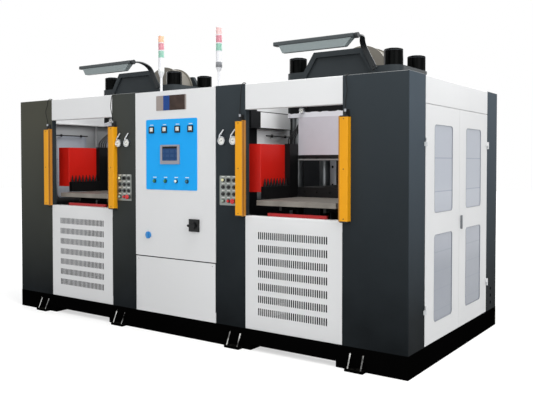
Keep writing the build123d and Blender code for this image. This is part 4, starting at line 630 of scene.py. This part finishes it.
dials, marks, bezels = [], [], []
for x, y, z, radius, needle in GAUGES:
    face = radius - 4
    place, back = [(x, y, z)], -2.6
    dials.append(placed(turned([(0, -2.9), (face - 0.3, -2.9), (face - 0.3, back), (0, back)]), place))
    ticks = []
    for number in range(31):
        start = face * (0.72 if number % 5 == 0 else 0.8)
        ticks.append(bar_mark(start, face * 0.9, 225 - number * 9, 1.3, back, back + 0.3))
    pointer = [bar_mark(-face * 0.25, face * 0.72, needle, 2.4, back + 0.5, back + 1.0)]
    pointer.append(turned([(0, back), (3, back), (3, back + 1.6), (0, back + 1.8)], 16))
    scale_in, scale_out = face * 0.92, face * 0.985
    scale = turned([(scale_in, back), (scale_in, back + 0.3), (scale_out, back + 0.3), (scale_out, back)])
    marks.append(placed(together(*ticks, *pointer, scale), place))
    rim = [(face - 0.6, -1.2), (face, 0.6), (radius - 1.5, 1.6), (radius + 0.8, 0.6)]
    rim += [(radius + 0.8, -7), (radius, -7), (radius, 0), (face, 0)]
    bezels.append(placed(turned(rim + rim[:1], 40), place))
piece("gauge_dials", "machine", dial_white, together(*dials))
piece("gauge_marks", "machine", needle_black, together(*marks))
piece("gauge_bezels", "machine", chrome, together(*bezels), 50)

# Pillar control plates: brushed stainless plates with black bezels, black and red capped buttons, a
# pilot lamp at the left of the top and bottom rows, a selector and a red mushroom stop button.
plate_steel = metal("control plate steel", "#848885", 0.42, (0.02, 1.0, 1.0), 0.12, 500.0)
dress(plate_steel, "control_plates")
knob_black = moulded("knob black", "#101011", 0.35)
dress(knob_black, "left_selector", "right_selector")
stop_red = moulded("stop red", "#B8181C", 0.3)
dress(stop_red, "left_stop_button", "right_stop_button")
CONTROL_X, CONTROL_Z, PITCH = (-603, 597), 1255, 56
PLATE_Y, STOP_Y = -993, -1004.5
bezel = [(11.7, 0.2), (16.4, 0.2), (16.4, 4), (15, 6.6), (12.5, 6.9), (11.7, 6.2), (11.7, 0.2)]
cap = [(0, 6), (11.3, 6), (11.3, 14.6), (10.4, 15.8), (6, 16.4), (0, 16.6)]
pilot = [(0, 5), (11.4, 5), (11.4, 12), (10, 16), (6.5, 18.4), (0, 19.4)]
cells = [(column, row) for row in (1.5, 0.5, -0.5, -1.5) for column in (-1, 0, 1)]


def on_plates(shape, spots):
    """The shape in front of both control plates at spots counted in button pitches."""
    places = [(x + PITCH * u, PLATE_Y, CONTROL_Z + PITCH * v) for x in CONTROL_X for u, v in spots]
    return placed(shape, places)


piece("control_bezels", "machine", knob_black, on_plates(turned(bezel), cells), 40)
blacks = [(1, 1.5)] + [(u, v) for v in (0.5, -0.5) for u in (-1, 0, 1)]
piece("control_caps", "machine", knob_black, on_plates(turned(cap), blacks), 40)
piece("control_stop_caps", "machine", stop_red, on_plates(turned(cap), [(0, -1.5)]), 40)
pilot_pale = moulded("pilot pale", "#E6E4B2", 0.2, 0.05)
pilot_pale.recolour(pilot_pale.axis("Z") < 1.25, "#93A293")
pilots = on_plates(turned(pilot), [(-1, 1.5), (-1, -1.5)])
piece("pilot_lamps", "machine", pilot_pale, pilots, 60)
label_pale = moulded("label pale", "#C9CBC6", 0.4, 0.03)
labels = on_plates(slab(30, 7, 0.9, 1.0, 0.3), [(u, v + 0.5) for u, v in cells])
piece("control_labels", "machine", label_pale, labels)
mushroom = [(20.3, 8.5), (20.9, 12), (20.4, 15.5), (18, 19.3), (12, 20.6), (0, 21.0)]
mushroom += [(0, 20.2), (11, 19.9), (17, 18.4), (19.8, 15), (20.3, 8.5)]
for side, x in zip(("left", "right"), CONTROL_X):
    head = placed(turned(mushroom, 40), [(x + PITCH, STOP_Y, CONTROL_Z - 1.5 * PITCH)])
    piece(f"{side}_stop_head", f"{side}_stop_button", stop_red, head, 50)

# Light curtains: yellow painted profiles with a ribbed amber window on the inner side, black end
# caps, small screws, and a round connector with a grey nut for the black cable.
curtain_coat = painted("curtain coat", "#DA9612", 0.42, 0.03, 0.03, 0.2)
black_top = painted("bracket black", "#141516", 0.45, 0.1, 0.1)
CURTAIN_Y, CURTAIN_Z0, CURTAIN_Z1 = -1015, 1054, 1803
curtain_coat.recolour(curtain_coat.axis("Z") > 1.8102, "#141516")
dress(curtain_coat, "light_curtains")
CURTAINS = [(-1665, -1), (-729, 1), (729, -1), (1665, 1)]
amber = Finish("amber window", IOR=1.5, Roughness=0.3)
amber_rib = (amber.axis("Z") * 120.0) % 1.0
amber_dark = amber.mix(amber.axis("Y") < -1.022, paint("#C4822F"), paint("#8A5A10"))
amber.set(Base_Color=amber.mix(amber.ramp(amber_rib, 0.35, 0.65) * 0.4, amber_dark, paint("#7A4A14")))
amber.set(Normal=amber.bump(amber_rib + amber.noise(80.0) * 0.3, 0.0008, 0.4))
amber_strips, end_caps, screws, nuts = [], [], [], []
for x, side in CURTAINS:
    inner = x - side * 37.6
    strip = stack([rounded(11.2, 43, 4.0, 4)] * 2, [1061, 1808])
    amber_strips.append(placed(strip, [(inner, CURTAIN_Y, 0)], "up"))
    cap_line = rounded(65.2, 51.2, 4.5, 3)
    end_cap = stack([cap_line * 0.97, cap_line, cap_line, cap_line * 0.97], [0, 1, 9, 10])
    end_caps.append(placed(end_cap, [(x, CURTAIN_Y, CURTAIN_Z0), (x, CURTAIN_Y, CURTAIN_Z1)], "up"))
    screws += [(x, -1040, z) for z in (1080, 1434, 1790)]
    nuts.append((x, CURTAIN_Y, 0))
piece("curtain_windows", "machine", amber, together(*amber_strips), 40)
piece("curtain_end_caps", "machine", black_top, together(*end_caps), 40)
screw = turned([(0, 0), (4.2, 0), (4.2, 1.2), (3.4, 1.9), (1.8, 1.9), (1.6, 0.6), (0, 0.6)], 16)
piece("curtain_screws", "machine", knob_black, placed(screw, screws), 40)
nut_line = [(8.8, 1840), (10.4, 1840.6), (10.4, 1852), (9.6, 1853.5), (9.6, 1860.4), (6, 1861.6), (6, 1840)]
nut_grey = metal("connector grey", "#85888C", 0.38, (1.0, 1.0, 1.0), 0.2, 60.0)
connector_nuts = placed(turned(nut_line + nut_line[:1], 12), nuts, "up")
piece("connector_nuts", "machine", nut_grey, connector_nuts, 30)
cable_rubber = moulded("cable rubber", "#090A0A", 0.6, Specular_IOR_Level=0.2)
dress(cable_rubber, "curtain_cables", "press_hoses")

# Presses: cast and welded beds and crowns in dark machine paint, ground tie bars, black tie nuts,
# blackened platens, ground tables, and a brushed heat shield over each pedestal.
crown_coat = painted("crown coat", "#303538", 0.5, 0.1, 0.08, 0.12)
# Painted shade: the crowns are near black below the roof, inside the enclosure.
crown_coat.recolour(crown_coat.axis("Z") < 2.09, "#0D0E10")
ragged = crown_coat.noise(9.0) * 0.05
pale_rim = (crown_coat.axis("Z") < 1.885 + ragged) * (crown_coat.axis("Z") > 1.868)
crown_coat.recolour(pale_rim * (crown_coat.facing("Y") < -0.5), "#E6E6EC")
dress(crown_coat, "crowns")
bed_coat = painted("bed coat", "#141618", 0.5, 0.15, 0.1, 0.2)
dress(bed_coat, "press_beds")
bar_chrome = metal("bar chrome", "#7F8284", 0.36, (1.0, 1.0, 0.02), 0.3, 200.0)
# Painted shade: the tie bars go near black below the table.
bar_chrome.recolour(1 - bar_chrome.ramp(bar_chrome.axis("Z"), 1.12, 1.3), "#17181A")
dress(bar_chrome, "tie_bars")
nut_coat = painted("nut coat", "#050606", 0.3, 0.15, 0.06, 0.03)
nut_coat.recolour(nut_coat.band("Z", [2.374], 0.004), "#000000")
nut_coat.recolour(nut_coat.band("Z", [2.381], 0.002), "#3A3D40")
dress(nut_coat, "tie_nuts")
table_steel = metal("table steel", "#7F7A73", 0.45, (0.03, 1.0, 1.0), 0.4, 150.0, 0.5)
table_steel.recolour(table_steel.axis("Z") < 1.1425, "#131313")
dress(table_steel, "left_table", "right_table")
dark_steel = painted("blackened steel", "#0E0E0F", 0.5, 0.2, 0.05, 0.25)
dress(dark_steel, "left_lower_platen", "right_lower_platen")
platen_steel = painted("upper platen steel", "#0F0F10", 0.45, 0.2, 0.05, 0.25)
platen_steel.recolour(platen_steel.axis("Z") < 1.512, "#8E8C8C")
dress(platen_steel, "upper_platens")
shield_steel = metal("shield steel", "#D6D2DA", 0.5, (0.02, 1.0, 1.0), 0.06, 400.0, 0.2)
# Painted reflection: broad, darker pinkish patches across the shield.
painted_reflection = shield_steel.ramp(shield_steel.noise(2.6, 2.0, (1.0, 1.0, 0.6)), 0.45, 0.7)
shield_steel.recolour(painted_reflection * 0.5, "#A396A2")
dress(shield_steel, "heat_shields")

# Round the mould space: red painted guards and sill bars, black terminal boxes with their cone
# racks, plated struts at the back, and the duct and rods on the walls. The prefill tanks on the
# crowns and the power unit behind the cabinet are painted steel too.
guard_red = painted("guard red", "#C91C12", 0.4, 0.12, 0.02, 0.25)
guard_red.recolour(guard_red.axis("Z") < 1.2, "#A82628")
dress(guard_red, "red_guards")
box_black = painted("box black", "#0A0A0B", 0.5, 0.15, 0.05, 0.2)
dress(box_black, "terminal_boxes")
# Painted light: the struts are coloured near white, lighter than their zinc.
strut_zinc = metal("strut zinc", "#F4F4FA", 0.5, (1.0, 1.0, 0.05), 0.06, 90.0, 0.0)
dress(strut_zinc, "rear_struts")
rails = painted("rail coat", "#17181A", 0.4, 0.1, 0.05)
# The duct is white behind y -0.417 m; nearer the front it keeps the dark rail colour as painted shade.
duct = rails.within("Z", 1.787, 1.923) * rails.within("X", 0.4, 0.6) * (rails.axis("Y") > -0.417)
rails.recolour(duct, "#F4F5F6")
dress(rails, "wall_rails")
tank_coat = painted("tank coat", "#6E6A62", 0.5, 0.1, 0.3)
dress(tank_coat, "prefill_tanks")
unit_coat = painted("unit coat", "#7C8286", 0.45, 0.08, 0.35)
dress(unit_coat, "power_unit")

# Cabinet door: a light grey sheet tray that carries the blue instrument panel, the bare plate above
# it, the meters, the touch screen, the push buttons, the main switch and the lock. Two screws hold
# the panel below it.
dress(panel_coat, "cabinet_door")
plates = painted("plate print", "#1C9FE9", 0.45, 0.02, 0.0, 0.12)
silver = plates.mix(plates.noise(3.0, 4.0), paint("#8A807C"), paint("#A39B96"))
brown = plates.mix(plates.noise(16.0, 2.0), paint("#1D1614"), paint("#4A3B35"))
field = plates.mix(plates.within("X", -0.118, -0.046), silver, paint("#1E4180"))
field = plates.mix(plates.within("X", -0.046, 0.130), field, brown)
plates.shade = plates.mix(plates.axis("Z") > 1.9, plates.shade, field)
plates.set(Base_Color=plates.shade)
dress(plates, "door_plates")

bezel_grey = moulded("screen bezel", "#8A8A93", 0.35)
dress(bezel_grey, "touch_screen")
glass = Finish("screen glass", IOR=1.5, Roughness=0.12, Specular_IOR_Level=0.2)
sx, sz = glass.axis("X") + 0.0375, glass.axis("Z") - 1.557
bar = sz > 0.043
across = abs((sx * 18.0) % 1.0 - 0.5) < 0.36
down = abs((sz * 26.0) % 1.0 - 0.5) < 0.3
boxes = across * down * (abs(sx) < 0.083) * (sz < 0.036)
screen_shade = glass.mix(glass.noise(6.0), paint("#0F2D55"), paint("#173E6C"))
screen_shade = glass.mix(boxes * 0.12, screen_shade, paint("#4F739A"))
screen_shade = glass.mix(bar, screen_shade, paint("#05070A"))
glass.set(Base_Color=screen_shade, Emission_Color=screen_shade, Emission_Strength=0.12)
screen = placed(slab(172, 121, 1.0, 1.5, 0.4), [(-37.5, -1000, 1557)])
piece("screen_glass", "cabinet_door", glass, screen)

instrument_dark = moulded("instrument dark", "#0C0D0E", 0.4, Specular_IOR_Level=0.25)
dress(instrument_dark, "door_instruments", "switch_handle")
METERS, METER_Z = (-256, -103, 48, 194), 1763
BUTTONS, BUTTON_Z = (-221, -93, 31, 154), 1321
meter_faces = placed(slab(36, 38, 0.8, 2.0, 0.3), [(x, -999, METER_Z) for x in METERS])
piece("meter_faces", "cabinet_door", dial_white, meter_faces)
lower_band = slab(34, 9, 0.7, 1.0, 0.3)
meter_marks = together(
    *[bar_mark(19, 22, 50 + 16 * i, 1.0, 0, 0.5) for i in range(6)],
    bar_mark(2, 19, 110, 1.4, 0.3, 0.9),
    (lower_band[0] + (0, -6.0, 0.2), lower_band[1]),
)
meter_marks = placed(meter_marks, [(x, -999.6, METER_Z - 11) for x in METERS])
piece("meter_marks", "cabinet_door", needle_black, meter_marks)
label_white = moulded("label white", "#CFE3EE", 0.4, 0.03)
legends = [(x, PLATE_Y, METER_Z + 43) for x in METERS] + [(x, PLATE_Y, BUTTON_Z + 32) for x in BUTTONS]
piece("door_legends", "cabinet_door", label_white, placed(slab(40, 7, 0.8, 1.5, 0.3), legends))
ring = [(12.3, 0.2), (17.4, 0.2), (17.4, 6), (16, 9.6), (13.2, 9.8), (12.3, 9.2), (12.3, 0.2)]
ring_grey = metal("ring grey", "#4E5B60", 0.3, (1.0, 1.0, 1.0), 0.2, 60.0)
rings = placed(turned(ring), [(x, PLATE_Y, BUTTON_Z) for x in BUTTONS])
piece("button_rings", "cabinet_door", ring_grey, rings, 40)
button_green = moulded("button green", "#17704C", 0.25)
button_white = moulded("button white", "#CFE0DC", 0.25)
button_teal = moulded("button teal", "#1E6070", 0.25)
dome = [(0, 0.05), (11.8, 0.05), (11.8, 1.2), (10.2, 2.6), (6, 3.6), (0, 4.0)]
shades = (button_green, button_green, button_white, button_teal)
for name, x, shade in zip(("pump_start", "heater_start", "lamp_test", "reset"), BUTTONS, shades):
    dress(shade, f"{name}_button")
    piece(f"{name}_lens", f"{name}_button", shade, placed(turned(dome), [(x, -1008, BUTTON_Z)]), 50)
panel_screws = placed(screw, [(x, FRONT_Y, 628) for x in (-425, 425)])
piece("panel_screws", "machine", nut_grey, panel_screws, 40)
lock_blue = moulded("lock blue", "#3380BE", 0.3)
dress(lock_blue, "door_lock")

# Side doors: light grey trays with grey-blue panes behind rounded windows, a grey rubber gasket
# round each, pale lift-off hinges and a drop handle on the rear leaf.
door_coat = painted("door coat", *PANEL)
# Painted shade: the left doors' inner faces are darker grey, and near black below the table.
inner = (door_coat.axis("X") < -2.0) * (door_coat.facing("X") > 0.5)
door_coat.recolour(inner, "#A4A6A8")
door_coat.recolour(inner * (1 - door_coat.ramp(door_coat.axis("Z"), 1.05, 1.25)), "#1C1D1F")
pane = Finish("window pane", IOR=1.49, Alpha=0.8, Specular_IOR_Level=0.6)
# Painted light: the panes grow lighter upward, from 0.7 m to 1.25 m.
tint_and_light = pane.mix(pane.ramp(pane.axis("Z"), 0.7, 1.25), paint("#79818F"), paint("#B4BAC6"))
tint_and_light = pane.mix(pane.noise(2.0) * 0.3, tint_and_light, paint("#C8CDD6"))
# Painted lines: frames behind the panes, and painted reflections.
frame_and_reflection_lines = pane.band("Z", [0.387, 0.541, 0.677, 0.819, 1.267, 1.514], 0.004) * 0.45
tint_and_light = pane.mix(frame_and_reflection_lines, tint_and_light, paint("#7C8696"))
pane.set(Base_Color=tint_and_light, Roughness=pane.noise(20.0) * 0.1 + 0.05)
pane.set(Normal=pane.bump(pane.noise(3.0), 0.002, 0.2))
gasket_grey = moulded("gasket grey", "#7E828A", 0.5)
handle_grey = moulded("handle grey", "#62666A", 0.4)
dress(handle_grey, "left_side_handle", "right_side_handle")


def gasket(width, height, radius):
    """A half-round lip carried round a rounded window, standing in its cut edge."""
    lip = [(0.6, -3.4), (0.6, 0.8), (-1.2, 1.4), (-3.0, 0.8), (-3.4, -3.4)]
    rings = []
    for out, w in lip:
        outline = rounded(width + 2 * out, height + 2 * out, radius + out, 6)
        rings.append(np.column_stack([outline, np.full(len(outline), w)]))
    return grid(rings, round_u=True, round_v=True)


WINDOW_W, WINDOW_R, WINDOW_SPANS = 375, 30, ((310, 952), (1112, 1758))
for side, sign in (("left", -1), ("right", 1)):
    for end, y in (("front", -342.5), ("rear", 342.5)):
        leaf = f"{side}_{end}_door"
        dress(door_coat, leaf)
        dress(pane, f"{side}_{end}_windows")
        lips = []
        for low, high in WINDOW_SPANS:
            middle = [(sign * SIDE_X, y, (low + high) / 2)]
            lips.append(placed(gasket(WINDOW_W, high - low, WINDOW_R), middle, side))
        piece(f"{side}_{end}_gaskets", leaf, gasket_grey, together(*lips), 60)

# Work lamps: a flat bar bolted along the slope of each crown's hump bends over to an eye that holds
# the trunnion of the dark housing, and a grey tapered cover closes the tubes below.
arm_coat = painted("arm coat", "#202426", 0.45, 0.1, 0.1)


def bent_bar(path, across, widths, thickness):
    """A flat bar along a path: each point is spread by half the width across it and by half the thickness
    square to the path and to that, with eased long edges. Path, across and widths run smoothly along the
    given stations."""
    stations = np.arange(len(path), dtype=float)
    fine = np.linspace(0, len(path) - 1, 8 * (len(path) - 1) + 1)

    def smooth(values):
        """Straight runs between stations, averaged over about one station on both sides."""
        line = np.array([np.interp(fine, stations, column) for column in np.array(values, float).T])
        padded = np.pad(line, ((0, 0), (6, 6)), "reflect", reflect_type="odd")
        return np.array([np.convolve(row, np.ones(13) / 13, "valid") for row in padded]).T

    centre, side = smooth(path), smooth(across)
    width = smooth(np.array(widths)[:, None])
    side /= np.linalg.norm(side, axis=1)[:, None]
    along = np.gradient(centre, axis=0)
    along /= np.linalg.norm(along, axis=1)[:, None]
    out = np.cross(along, side)
    out /= np.linalg.norm(out, axis=1)[:, None]
    half, ease = thickness / 2, 1.5
    section = [(-1, -half + ease), (-1, half - ease), (-0.93, half), (0.93, half)]
    section += [(1, half - ease), (1, -half + ease), (0.93, -half), (-0.93, -half)]
    points, faces = grid([centre + side * width * u / 2 + out * w for u, w in section], round_u=True)
    count = len(centre)
    return points, faces + [[i * count for i in range(8)], [i * count + count - 1 for i in range(8)]]


ARM_PATH = [(345, -295, 2235), (297, -295, 2328), (251, -295, 2408), (262, -350, 2446), (312, -450, 2452)]
ARM_PATH += [(362, -545, 2452), (383, -610, 2449), (382, -660, 2442)]
SLOPE, OVER = (0.89, 0, 0.456), (0.9, 0.42, 0)
arm_across = [SLOPE] * 3 + [OVER] * 3 + [(1, 0.1, 0)] * 2
arm_bar = bent_bar(ARM_PATH, arm_across, [46, 46, 46, 46, 44, 38, 30, 28], 12)
eye = [(6.4, 0), (20.5, 0), (22, 1.5), (22, 28.5), (20.5, 30), (0, 30), (0, 19), (6.4, 19), (6.4, 0)]
eye_ring = placed(turned(eye, 32), [(365, -672, 2441.5)], "right")
bolt = [(0, 0), (8, 0), (8, 5), (7, 5.8), (0, 5.8)]
bolts = placed(turned(bolt, 6), [(333, -301, 2258), (270, -301, 2381)])
arms = together(arm_bar, eye_ring, bolts)
arms = together(*[(arms[0] + (x, 0, 0), arms[1]) for x in STATIONS])
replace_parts(piece("lamp_arm_bars", "machine", arm_coat, arms, 40), "lamp_arms")
lamp_coat = painted("lamp coat", "#3C4244", 0.45, 0.05, 0.1)
cover_pale = moulded("lamp cover", "#838E8F", 0.35)
for side in ("left", "right"):
    dress(lamp_coat, f"{side}_lamp_housing")
    dress(cover_pale, f"{side}_lamp_cover")
